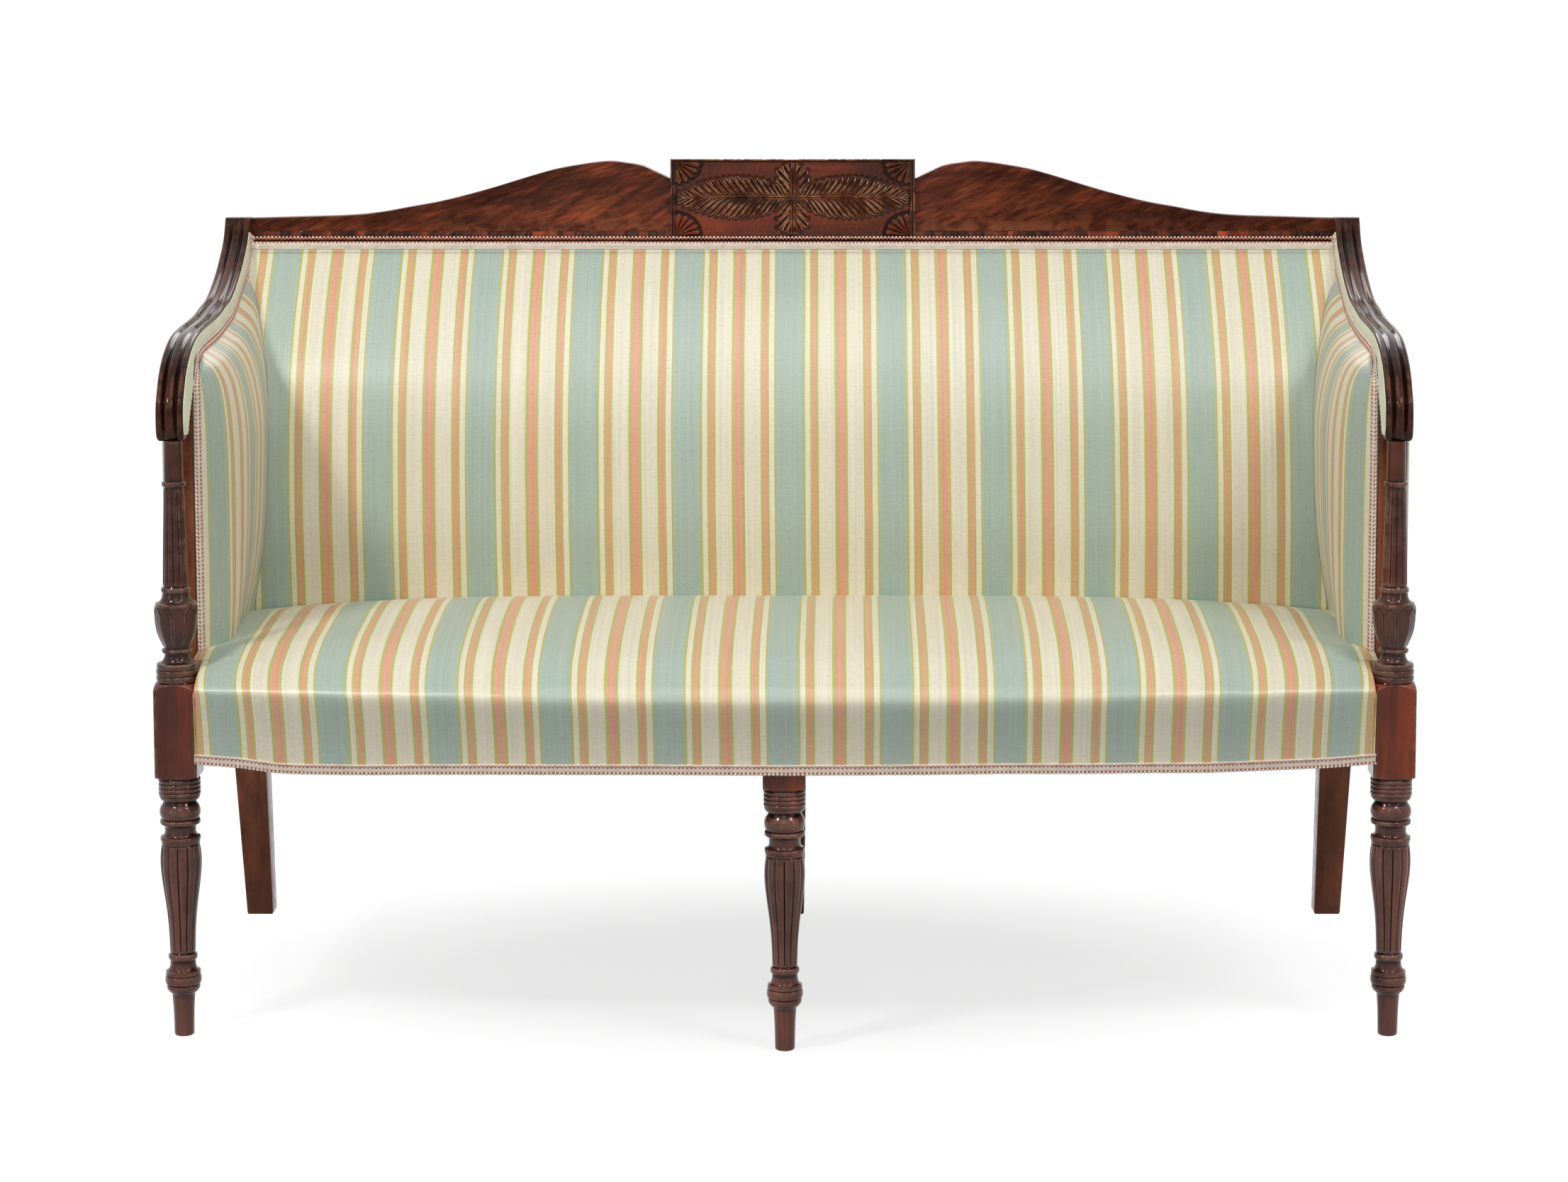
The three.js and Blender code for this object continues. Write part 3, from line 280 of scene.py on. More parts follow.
def mahogany(name, along, dark, light, streak=0.5, wear=(0.2, 0.062, 0.026), figure=14.0, gloss=0.2,
             grain_map=False, flame=0.0, slips=False, column=None, polish=(0.2, 0.1)):
    """French-polished mahogany: grain along one axis, darkened in the hollows as soiling and painted shade,
    and rubbed on the edges.
    """
    wood = Finish(name)
    if grain_map:
        place = wood.node("ShaderNodeAttribute", attribute_name="grain")
    else:
        place = wood.node("ShaderNodeTexCoord")
    stretch = [1.0, 1.0, 1.0]
    stretch["XYZ".index(along)] = 0.07
    cross = [0.35 if s == 1.0 else 0.3 for s in stretch]
    fibre = wood.noise(place, 260.0, 5.0, 0.65, stretch)
    band = wood.noise(place, 38.0, 3.0, 0.6, [s * 0.9 for s in stretch])
    cloud = wood.noise(place, figure, 4.0, 0.6, cross)
    tone = wood.blend(None, dark, light, share=0.5)
    wood.tree.links.new(wood.ramp(cloud, (0.35, (0, 0, 0)), (0.66, (1, 1, 1))).outputs[0], tone.inputs[0])
    grain = wood.ramp(band, (0.34, (0.32, 0.28, 0.28)), (0.5, (0.9, 0.9, 0.9)), (0.68, (1.75, 1.6, 1.4)))
    toned = wood.blend(None, tone, grain, mode="MULTIPLY", share=streak)
    pores = wood.ramp(fibre, (0.34, (0.5, 0.45, 0.45)), (0.5, (1, 1, 1)), (0.7, (1.12, 1.08, 1.05)))
    lined = wood.blend(None, toned, pores, mode="MULTIPLY", share=0.5)
    if flame:
        for slope, scale in ((0.95, 95.0), (1.25, 210.0)):
            stripe = wood.noise(place, scale, 3.0, 0.6, (1.0, 0.3, 0.1), (0.0, slope, 0.0), 0.35)
            flames = wood.ramp(stripe, (0.36, (0.5, 0.44, 0.42)), (0.5, (1, 1, 1)), (0.64, (1.7, 1.75, 1.6)))
            lined = wood.blend(None, lined, flames, mode="MULTIPLY", share=flame)
    if slips:
        tone_of_slip = wood.node("ShaderNodeAttribute", attribute_name="tone")
        slip_tone = wood.ramp(tone_of_slip, (0.0, (0.12, 0.1, 0.1)), (0.6, (0.8, 0.7, 0.7)),
                              (1.0, (2.4, 2.2, 1.9)), out=2)
        lined = wood.blend(None, lined, slip_tone, mode="MULTIPLY", share=1.0)
    if column:
        height = wood.join(place, wood.node("ShaderNodeSeparateXYZ"), 3)
        zones = wood.ramp(height, *column, out=2, kind="CONSTANT")
        lined = wood.blend(None, lined, zones, mode="MULTIPLY", share=1.0)
    hollow = wood.node("ShaderNodeAttribute", attribute_name="hollow")
    value = wood.node("ShaderNodeMath", operation="MULTIPLY", in_1=1.0)
    wood.tree.links.new(hollow.outputs["Fac"], value.inputs[0])
    rub = wood.noise(place, 55.0, 3.0, 0.6)
    edge_marks = wood.sums("MULTIPLY", wood.sums("MULTIPLY", value, -5.0, True), wood.ramp(
        rub, (0.42, (0.08, 0.08, 0.08)), (0.6, (1, 1, 1))), True)
    rubbed = wood.blend(edge_marks, lined, wear)
    # Painted shade: the hollows are darkened towards near black, for the shade in them along with dirt.
    grime_and_shade = wood.sums("MULTIPLY", value, 12.0, True)
    grimy_and_shaded = wood.blend(grime_and_shade, rubbed, (0.006, 0.003, 0.003))
    wood.colour(grimy_and_shaded)
    shine = wood.ramp(rub, (0.3, (gloss - 0.06,) * 3), (0.7, (gloss + 0.14,) * 3))
    wood.drive("Roughness", shine)
    wood.constants({"Specular IOR Level": polish[0], "Specular Tint": (1.0, 0.55, 0.45, 1.0),
                    "Coat Weight": polish[1], "Coat Roughness": 0.06})
    wood.raise_by(fibre, 0.07, 0.0004)
    wood.raise_by(wood.noise(place, 900.0, 2.0), 0.05, 0.0002)
    return wood.material


# Front posts and front middle leg: one length of mahogany each, turned into toe, ankle, reeded leg and
# rings, with a square block where the rails are tenoned in, then a leaf-carved vase and a reeded column.
turned_finish = mahogany("turned_mahogany", "Z", (0.045, 0.012, 0.006), (0.15, 0.04, 0.017), 0.8,
                         wear=(0.25, 0.15, 0.1), gloss=0.13, polish=(0.22, 0.3),
                         column=((0.0, (1.25, 1.6, 2.7)), (LEG_HEIGHT * mm, (1.45, 0.82, 0.45)),
                                 (BLOCK_TOP * mm, (0.62, 0.8, 1.2)), (0.551, (0.7, 0.5, 0.42))))
REEDS, AROUND, CURVE_PARTS = 12, 144, 7
CORNER, ARRIS = 1.414, 1.375


def turned_profile(start, steps):
    """Height and radius along turned work, step by step from the start, as the turner cuts it."""
    line = [start]
    for kind, *sizes in steps:
        z0, r0 = line[-1]
        if kind == "to":
            z1, r1 = sizes
            parts = max(1, int(abs(z1 - z0) / 3.0))
            line += [(z0 + (z1 - z0) * i / parts, r0 + (r1 - r0) * i / parts) for i in range(1, parts + 1)]
        elif kind == "swell":
            knots = np.array([line[-1]] + sizes[0], float)
            ahead = 2 * knots[-1] - knots[-2]
            behind = 2 * knots[0] - knots[1]
            knots = np.vstack([behind, knots, ahead])
            for i in range(1, len(knots) - 2):
                parts = max(2, int(abs(knots[i + 1][0] - knots[i][0]) / 2.0))
                for j in range(1, parts + 1):
                    t = j / parts
                    p0, p1, p2, p3 = knots[i - 1:i + 3]
                    point = 0.5 * (2 * p1 + (p2 - p0) * t + (2 * p0 - 5 * p1 + 4 * p2 - p3) * t * t
                                   + (3 * p1 - p0 - 3 * p2 + p3) * t ** 3)
                    line.append((float(point[0]), float(point[1])))
        else:
            z1, r1 = sizes[:2]
            for i in range(1, CURVE_PARTS + 1):
                t = i / CURVE_PARTS
                turn = t * math.pi / 2
                if kind == "bead":
                    out = math.sin(t * math.pi) ** 0.75
                    line.append((z0 + (z1 - z0) * (1 - math.cos(t * math.pi)) / 2,
                                 r0 + (r1 - r0) * t + (sizes[2] - max(r0, r1)) * out))
                elif (kind == "cove") == (r1 > r0):
                    line.append((z0 + (z1 - z0) * math.sin(turn), r0 + (r1 - r0) * (1 - math.cos(turn))))
                else:
                    line.append((z0 + (z1 - z0) * (1 - math.cos(turn)), r0 + (r1 - r0) * math.sin(turn)))
    return line


leg_profile = turned_profile((0.0, 9.6), [
    ("round", 2.4, 11.9), ("swell", [(22, 12.3), (36, 12.8), (47, 13.5)]), ("cove", 55.0, 17.6),
    ("to", 56.5, 17.9), ("bead", 63.2, 18.8, 20.5), ("to", 63.8, 19.9), ("bead", 75.0, 19.8, 21.8),
    ("to", 75.4, 20.4), ("bead", 78.0, 20.5, 21.0), ("to", 80.0, 20.6), ("cove", 90.0, 15.3),
    ("to", 94.0, 15.2), ("bead", 101.5, 14.9, 17.6), ("to", 102.5, 14.2), ("to", 104.0, 15.1),
    ("swell", [(125, 15.8), (142, 16.9), (159, 18.6), (176, 20.9), (193, 23.1), (204, 24.2), (215, 24.7),
               (226, 24.2), (235.6, 22.9)]),
    ("to", 237.0, 21.9), ("bead", 240.4, 22.7, 23.6), ("bead", 246.2, 22.9, 24.3), ("cove", 253.0, 18.7),
    ("to", 257.0, 18.9), ("cove", 261.0, 22.0), ("bead", 267.4, 21.9, 24.4), ("to", 268.0, 22.0),
    ("swell", [(272, 23.9), (277.5, 24.6), (283, 23.0), (286.5, 20.6)]), ("to", 290.0, 19.2),
    ("round", 296.0, 24.4), ("to", 296.3, 23.6), ("bead", 301.6, 23.6, 25.3), ("bead", 306.9, 23.6, 25.3),
    ("bead", 312.2, 23.6, 25.3), ("bead", 317.5, 23.6, 25.3), ("to", 319.8, 23.0),
])
column_profile = turned_profile((BLOCK_TOP + 0.2, 24.2), [
    ("to", 436.0, 23.8), ("bead", 443.5, 23.6, 25.3), ("bead", 451.0, 23.6, 25.3),
    ("bead", 458.3, 22.7, 25.1), ("cove", 468.7, 14.8), ("to", 469.8, 15.0), ("bead", 475.8, 15.4, 18.4),
    ("to", 476.6, 15.2),
    ("swell", [(480, 16.1), (487, 19.4), (493.5, 21.8), (500, 23.5), (510.6, 24.8), (521, 25.0),
               (527, 24.7)]),
    ("to", 528.0, 24.9), ("to", 531.0, 24.3), ("cove", 541.5, 16.3), ("to", 543.5, 15.9),
    ("bead", 550.0, 15.2, 17.9), ("to", 551.0, 14.6), ("to", 552.5, 15.3),
    ("swell", [(590, 14.4), (630, 13.2), (668, 12.1)]), ("to", 670.8, 11.4), ("bead", 677.6, 11.5, 14.4),
    ("swell", [(700, 11.4), (COLUMN_TOP, 11.1)]),
])
LEG_REEDED = (104.0, 235.6)
COLUMN_REEDED = (552.5, 668.0)


def turned_rings(profile, x, y, reeded, depth):
    """Rings of points round the axis; between the reeded heights the wood is cut into rounded reeds."""
    angle = 2 * np.pi * np.arange(AROUND) / AROUND
    across = 2 * ((angle * REEDS / (2 * np.pi)) % 1.0) - 1.0
    cut = 1.0 - np.sqrt(np.clip(1.0 - (np.abs(across) * 0.97) ** 2.6, 0, 1))
    rings = []
    for z, r in profile:
        fade = min(1.0, max(0.0, min(z - reeded[0], reeded[1] - z) / 3.0 + 0.001))
        radius = r - cut * depth * fade * min(1.0, r / 18.0)
        rings.append(np.stack([x + radius * np.cos(angle), y + radius * np.sin(angle),
                               np.full(AROUND, z)], 1))
    return rings


def block_rings(x, y, low, high, crowned):
    """The square block, its upper corners turned away so that each face ends in a low arch."""
    angle = 2 * np.pi * np.arange(AROUND) / AROUND
    square = BLOCK / 2 / np.maximum(np.abs(np.cos(angle)), np.abs(np.sin(angle)))
    square = np.minimum(square, BLOCK / 2 * ARRIS)
    levels = [(0.0, -2.6), (0.5, -1.2), (1.3, -0.4), (2.8, 0.0)]
    rings = []
    for rise, inset in levels:
        limit = BLOCK / 2 * CORNER + inset * 3.2
        rings.append((low + rise, np.minimum(square + inset * 0.25, limit)))
    for i in range(1, 30):
        rings.append((low + 2.8 + (high - BLOCK_CROWN - low - 2.8) * i / 30, square))
    if crowned:
        for t in np.arange(13) / 12:
            limit = BLOCK / 2 * (CORNER - (CORNER - 1) * t ** 1.4)
            rings.append((high - BLOCK_CROWN * (1 - t) - 0.3 * (t == 1), np.minimum(square, limit)))
    else:
        rings.append((high, square))
    return [np.stack([x + r * np.cos(angle), y + r * np.sin(angle), np.full(AROUND, z)], 1)
            for z, r in rings]


def rub_reeds(made, x, reeded, inward):
    """Grooves between the reeds are darkened, as soiling and painted shade, and the reeds towards the seat
    are rubbed along their edges.
    """
    layer = made.data.attributes["hollow"]
    for vertex in made.data.vertices:
        across_axis, out_of_axis = vertex.co.x / mm - x, (vertex.co.y - LEG_LINE) / mm
        if reeded[0] < vertex.co.z / mm < reeded[1]:
            angle = math.atan2(out_of_axis, across_axis)
            across = abs(2 * ((angle * REEDS / (2 * math.pi)) % 1.0) - 1.0)
            edge_marks = 0.13 * (0.45 < across < 0.85) * max(0.0, math.cos(angle) * inward - 0.1)
            # Grooves take painted shade with dirt; reed edges facing the seat are rubbed pale as wear.
            layer.data[vertex.index].value += 0.09 * (across > 0.9) - edge_marks


def front_leg(name, x, y, with_column):
    """A front leg and its block, and for a corner post the vase and column above the block."""
    rings = turned_rings(leg_profile, x, y, LEG_REEDED, 2.9)
    rings += block_rings(x, y, LEG_HEIGHT, BLOCK_TOP if with_column else MIDDLE_LEG_TOP, with_column)
    if with_column:
        rings += turned_rings(column_profile, x, y, COLUMN_REEDED, 2.2)
    made = mark_hollows(ring_piece(name, rings, turned_finish, 40))
    if with_column:
        rub_reeds(made, x, COLUMN_REEDED, -math.copysign(1.0, x))
    return made


for side, hand in SIDES:
    on_frame(front_leg("post_" + hand, side * LEG_PLACE, 0.0, True), "mahogany", "front_post_" + hand)
on_frame(front_leg("middle_leg", 0.0, -MIDDLE_LEG_SET, False), "mahogany", "front_middle_leg")

# Lotus leaves on the vase of each front post: ten dished leaves with raised rims and pointed tops,
# carved side by side round the turned vase. One leaf is shaped and repeated round the axis.
LEAVES = 10
LEAF_FOOT, LEAF_SHOULDER, LEAF_TIP = 479.0, 517.0, 527.0


def tree_of_copies():
    """A node tree that sets a copy of one small model on each point, turned and sized by the point."""
    tree = bpy.data.node_groups.new("set_copies", "GeometryNodeTree")
    sockets = {}
    for label, kind in (("Points", "Geometry"), ("Model", "Object"), ("Finish", "Material"),
                        ("Uneven", "Float"), ("Seed", "Int")):
        sockets[label] = tree.interface.new_socket(
            label, in_out="INPUT", socket_type="NodeSocket" + kind).identifier
    tree.interface.new_socket("Joined", in_out="OUTPUT", socket_type="NodeSocketGeometry")
    add, link = tree.nodes.new, tree.links.new
    given, out = add("NodeGroupInput"), add("NodeGroupOutput")
    model, place = add("GeometryNodeObjectInfo"), add("GeometryNodeInstanceOnPoints")
    turn, size = add("GeometryNodeInputNamedAttribute"), add("GeometryNodeInputNamedAttribute")
    turn.data_type = size.data_type = "FLOAT_VECTOR"
    turn.inputs["Name"].default_value, size.inputs["Name"].default_value = "turn", "size"
    wander, low, near, full = (add("FunctionNodeRandomValue"), add("ShaderNodeMath"), add("ShaderNodeMath"),
                               add("ShaderNodeVectorMath"))
    wander.data_type = "FLOAT"
    low.operation, near.operation, full.operation = "SUBTRACT", "ADD", "SCALE"
    low.inputs[0].default_value, near.inputs[0].default_value = 1.0, 1.0
    solid, painted = add("GeometryNodeRealizeInstances"), add("GeometryNodeSetMaterial")
    link(given.outputs["Model"], model.inputs["Object"])
    link(given.outputs["Points"], place.inputs["Points"])
    link(model.outputs["Geometry"], place.inputs["Instance"])
    link(turn.outputs["Attribute"], place.inputs["Rotation"])
    link(given.outputs["Uneven"], low.inputs[1])
    link(given.outputs["Uneven"], near.inputs[1])
    link(low.outputs[0], wander.inputs[2])
    link(near.outputs[0], wander.inputs[3])
    link(given.outputs["Seed"], wander.inputs["Seed"])
    link(size.outputs["Attribute"], full.inputs[0])
    link(wander.outputs[1], full.inputs["Scale"])
    link(full.outputs[0], place.inputs["Scale"])
    link(place.outputs[0], solid.inputs[0])
    link(solid.outputs[0], painted.inputs["Geometry"])
    link(given.outputs["Finish"], painted.inputs["Material"])
    link(painted.outputs[0], out.inputs[0])
    return tree, sockets


copies_tree, copies_socket = tree_of_copies()


def copies(name, model, places, turns, sizes, finish, uneven=0.0, seed=7, tones=None):
    """One mesh of copies of a small model, which is used up; places are in metres."""
    places = np.asarray(places, float).reshape(-1, 3)
    mesh = bpy.data.meshes.new(name + "_places")
    mesh.from_pydata(places.tolist(), [], [])
    for label, values in (("turn", turns), ("size", sizes)):
        layer = mesh.attributes.new(label, "FLOAT_VECTOR", "POINT")
        full = np.broadcast_to(np.asarray(values, float), places.shape)
        layer.data.foreach_set("vector", full.astype(np.float32).ravel())
    if tones is not None:
        layer = mesh.attributes.new("tone", "FLOAT", "POINT")
        layer.data.foreach_set("value", np.asarray(tones, np.float32))
    points = linked(name + "_places", mesh)
    setter = points.modifiers.new("set_copies", "NODES")
    setter.node_group = copies_tree
    for label, value in (("Model", model), ("Finish", finish), ("Uneven", uneven), ("Seed", seed)):
        setter[copies_socket[label]] = value
    bpy.context.view_layer.update()
    joined = bpy.data.meshes.new_from_object(
        points.evaluated_get(bpy.context.evaluated_depsgraph_get()))
    for label in ("turn", "size"):
        if label in joined.attributes:
            joined.attributes.remove(joined.attributes[label])
    points.modifiers.remove(setter)
    bpy.data.objects.remove(points)
    bpy.data.objects.remove(model)
    joined.name = name
    return linked(name, joined)


def vase_radius(z):
    """Radius of the vase and column at a height."""
    heights, radii = np.array(column_profile).T
    return np.interp(z, heights, radii)


def two_skins(top, under):
    """Points and faces of a shell between two grids with the same rows and columns."""
    rows, columns = np.shape(top)[:2]
    points = np.vstack([np.asarray(top, float).reshape(-1, 3), np.asarray(under, float).reshape(-1, 3)])
    far = rows * columns
    cells = (np.arange(rows - 1)[:, None] * columns + np.arange(columns - 1)[None, :]).ravel()
    faces = np.stack([cells, cells + 1, cells + columns + 1, cells + columns], 1).tolist()
    faces += (np.stack([cells, cells + columns, cells + columns + 1, cells + 1], 1) + far).tolist()
    rim = (list(range(columns - 1)) + [r * columns + columns - 1 for r in range(rows - 1)]
           + [(rows - 1) * columns + c for c in range(columns - 1, 0, -1)]
           + [r * columns for r in range(rows - 1, 0, -1)])
    faces += [[b, a, far + a, far + b] for a, b in zip(rim, rim[1:] + rim[:1])]
    return points, faces


def leaf_model():
    """One dished leaf on the vase, on the side that faces along X, with a raised rim rubbed pale and its
    outline darkened as painted shade and soiling.
    """
    rows, columns = 24, 13
    t = np.linspace(-1, 1, columns)[None, :]
    share = np.linspace(0, 1, rows)[:, None]
    tip = LEAF_TIP - (LEAF_TIP - LEAF_SHOULDER) * np.abs(t) ** 1.35
    z = LEAF_FOOT + (tip - LEAF_FOOT) * share
    rim = np.maximum(np.abs(t) + 0 * share, np.clip((share - 0.86) / 0.14, 0, 1) ** 1.5)
    angle = t * math.pi / LEAVES * 0.985 + 0 * share
    skins = []
    for depth in (0.1 + 1.5 * rim ** 4 - 0.6 * (rim > 0.985), -1.2 + 0 * rim):
        radius = vase_radius(z) + depth
        skins.append(np.stack([radius * np.cos(angle), radius * np.sin(angle), z], 2))
    points, faces = two_skins(*skins)
    leaf = mark_hollows(piece("leaf", points * mm, faces, turned_finish, 50), 1)
    # The leaf's outline is painted dark, as shade and dirt in the groove between leaves; the rim inside it is
    # rubbed pale.
    edge_marks = np.where(rim > 0.985, 0.12, np.where(rim > 0.8, -0.17, np.where(rim > 0.6, 0.03, 0.0)))
    for i, value in enumerate(edge_marks.ravel()):
        leaf.data.attributes["hollow"].data[i].value = value
    return leaf


for side, hand in SIDES:
    turns = [(0.0, 0.0, 2 * math.pi * (i + 0.5) / LEAVES - math.pi / 2) for i in range(LEAVES)]
    axis = [(side * LEG_PLACE * mm, LEG_LINE, 0.0)] * LEAVES
    on_frame(copies("vase_leaves_" + hand, leaf_model(), axis, turns, (1, 1, 1), turned_finish), "mahogany")

# Rear legs: the outer two run up as posts, splayed back below the seat and leaning back above it, sawn
# square from the plank and planed; the middle one is a short tapered leg. Their corners are taken off.
REAR_SET, REAR_DEPTH, TOP_DEPTH, KNEE = 500.0, 50.0, 24.0, 335.0
LEAN_FROM, LEAN = 450.0, 0.172
POST_INNER, POST_OUTER = 712.0, 758.0
FOOT_SIZE, FOOT_FRONT, FOOT_BACK = 35.0, 560.0, 595.0
MIDDLE_FOOT_HALF, MIDDLE_HALF = 14.0, 20.0
ROUND_PARTS = 3
CREST_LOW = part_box("crest_rail")[0].z / mm
plain_finish = mahogany("plain_mahogany", "Z", (0.09, 0.026, 0.012), (0.34, 0.115, 0.055), 0.85, figure=11.0)


def back_at(z):
    """Front of the rear posts, which lean back above the seat."""
    return REAR_SET + np.maximum(np.asarray(z, float) - LEAN_FROM, 0.0) * LEAN


def squared(levels, taken=1.7):
    """Rings of a squared length of wood through levels (x0, x1, y0, y1, z), its corners rounded over."""
    rings = []
    for x0, x1, y0, y1, z in levels:
        ring = []
        for cx, cy, start in ((x1, y1, 0), (x0, y1, 90), (x0, y0, 180), (x1, y0, 270)):
            for i in range(ROUND_PARTS + 1):
                a = math.radians(start + 90 * i / ROUND_PARTS)
                ring.append((cx - math.copysign(taken, math.cos(math.radians(start + 45)))
                             + taken * math.cos(a),
                             cy - math.copysign(taken, math.sin(math.radians(start + 45)))
                             + taken * math.sin(a), z))
        rings.append(ring)
    return np.array(rings)


def leg_levels(foot, knee, top, rise):
    """Levels of a rear leg, straight from the foot to the knee and eased round it."""
    levels = []
    for z in [0.0, 1.0, 3.0] + list(np.linspace(20, 300, 12)) + [318, 335, 352, 380, 415, 440, 455]:
        if z > rise:
            break
        t = min(1.0, max(0.0, z / KNEE))
        ease = 0.8 * math.exp(-((z - KNEE) / 16) ** 2)
        inset = 0.9 if z == 0 else 0.3 if z == 1 else 0.0
        box = [a + (b - a) * t for a, b in zip(foot, knee)]
        levels.append((box[0] + inset, box[1] - inset, box[2] + inset + ease, box[3] - inset + ease, z))
    for z in top:
        y = float(back_at(z))
        depth = REAR_DEPTH + (TOP_DEPTH - REAR_DEPTH) * (z - LEAN_FROM) / (CREST_LOW - GAP - LEAN_FROM)
        levels.append((knee[0], knee[1], y, y + depth, z))
    return levels


for side, hand in SIDES:
    edge = sorted((side * POST_INNER, side * POST_OUTER))
    foot = sorted((side * POST_INNER, side * (POST_INNER + FOOT_SIZE)))
    levels = leg_levels((*foot, FOOT_FRONT, FOOT_BACK), (*edge, REAR_SET, REAR_SET + REAR_DEPTH),
                        np.linspace(470, CREST_LOW - GAP, 12), 456)
    post = ring_piece("rear_post_" + hand + "_dressed", squared(levels), plain_finish, 35)
    on_frame(mark_hollows(post), "mahogany", "rear_post_" + hand)
top_of_middle = (-MIDDLE_HALF, MIDDLE_HALF, REAR_SET, REAR_SET + REAR_DEPTH)
levels = leg_levels((-MIDDLE_FOOT_HALF, MIDDLE_FOOT_HALF, FOOT_FRONT, FOOT_BACK), top_of_middle, [], 336)
levels.append((*top_of_middle, 342.0))
middle = ring_piece("rear_middle_leg_dressed", squared(levels), plain_finish, 35)
on_frame(mark_hollows(middle), "mahogany", "rear_middle_leg")

# Seat frame, lower arm and back rails and back uprights: the CAD solids themselves, in plain sawn beech.
beech = clouded("beech",
                (12.0, 4.0, 0.6, (0.2, 1, 1)), ((0.3, (0.36, 0.22, 0.11)), (0.7, (0.52, 0.34, 0.19))),
                (300.0, 4.0, 0.7, (0.05, 1, 1)), ((0.3, (0.6, 0.55, 0.5)), (0.6, (1, 1, 1))),
                0.6, 0.72, (0.3, 0.0006))
RAIL_TOP = 404.0
for node in ("seat_rail_front_left", "seat_rail_front_right", "seat_rail_side_left", "seat_rail_side_right",
             "seat_rail_rear", "seat_cross_rail", "corner_block_front_left", "corner_block_front_right",
             "corner_block_rear_left", "corner_block_rear_right", "arm_rail_lower_left",
             "arm_rail_lower_right", "back_rail_lower", "back_upright_left", "back_upright_right"):
    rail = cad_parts[node]
    rail.data.materials.clear()
    rail.data.materials.append(beech)

# Arm rails: mahogany with straight grain, swept from the crest forward and down into a rolled end that
# sits on the turned column. Two edge beads and a broad middle reed are scratched along the top.
ARM_END, ARM_FRONT, ARM_RISE, RAIL_WIDTH = 565.0, -16.0, 227.0, 33.0
ARM_LENGTH = ARM_END - ARM_FRONT
RAIL_OUT, RAIL_SPREAD = 748.0, 13.0
rail_finish = mahogany("arm_mahogany", "X", (0.008, 0.0028, 0.002), (0.085, 0.02, 0.007), 0.9,
                       wear=(0.13, 0.045, 0.02), gloss=0.11, figure=30.0, grain_map=True, polish=(0.12, 0.15))
TOP_LINE = [(1, 1), (.96, .89), (.902, .802), (.831, .714), (.7, .608), (.59, .573), (.489, .546),
            (.301, .529), (.208, .511), (.15, .48), (.09, .423), (.046, .352), (.021, .278), (0, .189),
            (0, .062), (.012, .001)]
UNDER_LINE = [(2.35, 1), (1.82, .835), (.957, .7), (.855, .6), (.71, .476), (.6, .441), (.49, .414),
              (.305, .396), (.228, .381), (.185, .353), (.134, .282), (.105, .216), (.084, .159),
              (.065, .106), (.055, .048), (.043, .001)]
RAIL_MOULDING = [(0, .04), (0, .3), (0, .6), (0, .8), (.008, .88), (.03, .945), (.07, .985), (.12, 1),
                 (.17, .99), (.215, .955), (.25, .91), (.285, .885), (.315, .895), (.345, .935), (.38, .965),
                 (.44, .98), (.5, .985), (.56, .98), (.62, .965), (.655, .935), (.685, .895), (.715, .885),
                 (.75, .91), (.785, .955), (.83, .99), (.88, 1), (.93, .985), (.97, .945), (.992, .88),
                 (1, .8), (1, .6), (1, .3), (1, .04), (.97, .012), (.8, 0), (.5, -.004), (.2, 0), (.03, .012)]


def arm_place(shares):
    """Depth and height of a point of the rail's outline, given in shares of its length and rise."""
    along, rise = shares
    y = ARM_END + (along - 1) * 15.9 if along > 1 else ARM_FRONT + along * ARM_LENGTH
    return np.array([y, COLUMN_TOP + rise * ARM_RISE])


def swept(points, t):
    """A place on the fair curve through the points, the same fair curve as the frame's."""
    points = [arm_place(p) for p in points]
    at = min(max(t, 0.0), 1.0) * (len(points) - 1)
    i = min(int(at), len(points) - 2)
    w = at - i
    p1, p2 = points[i], points[i + 1]
    p0 = points[i - 1] if i > 0 else 2 * p1 - p2
    p3 = points[i + 2] if i + 2 < len(points) else 2 * p2 - p1
    d0, d1, d2 = (float(((b - a) ** 2).sum()) ** 0.25 for a, b in ((p0, p1), (p1, p2), (p2, p3)))
    s1 = ((p1 - p0) / d0 - (p2 - p0) / (d0 + d1) + (p2 - p1) / d1) * d1
    s2 = ((p2 - p1) / d1 - (p3 - p1) / (d1 + d2) + (p3 - p2) / d2) * d1
    return p1 + s1 * w + (3 * (p2 - p1) - 2 * s1 - s2) * w ** 2 + (2 * (p1 - p2) + s1 + s2) * w ** 3


def rail_outer(y):
    """Outer side of the arm rails, which spread a little towards the back."""
    return RAIL_OUT + RAIL_SPREAD * (np.asarray(y, float) - ARM_FRONT) / ARM_LENGTH


def rail_inner(y):
    """Inner side of the arm rails."""
    return rail_outer(y) - RAIL_WIDTH


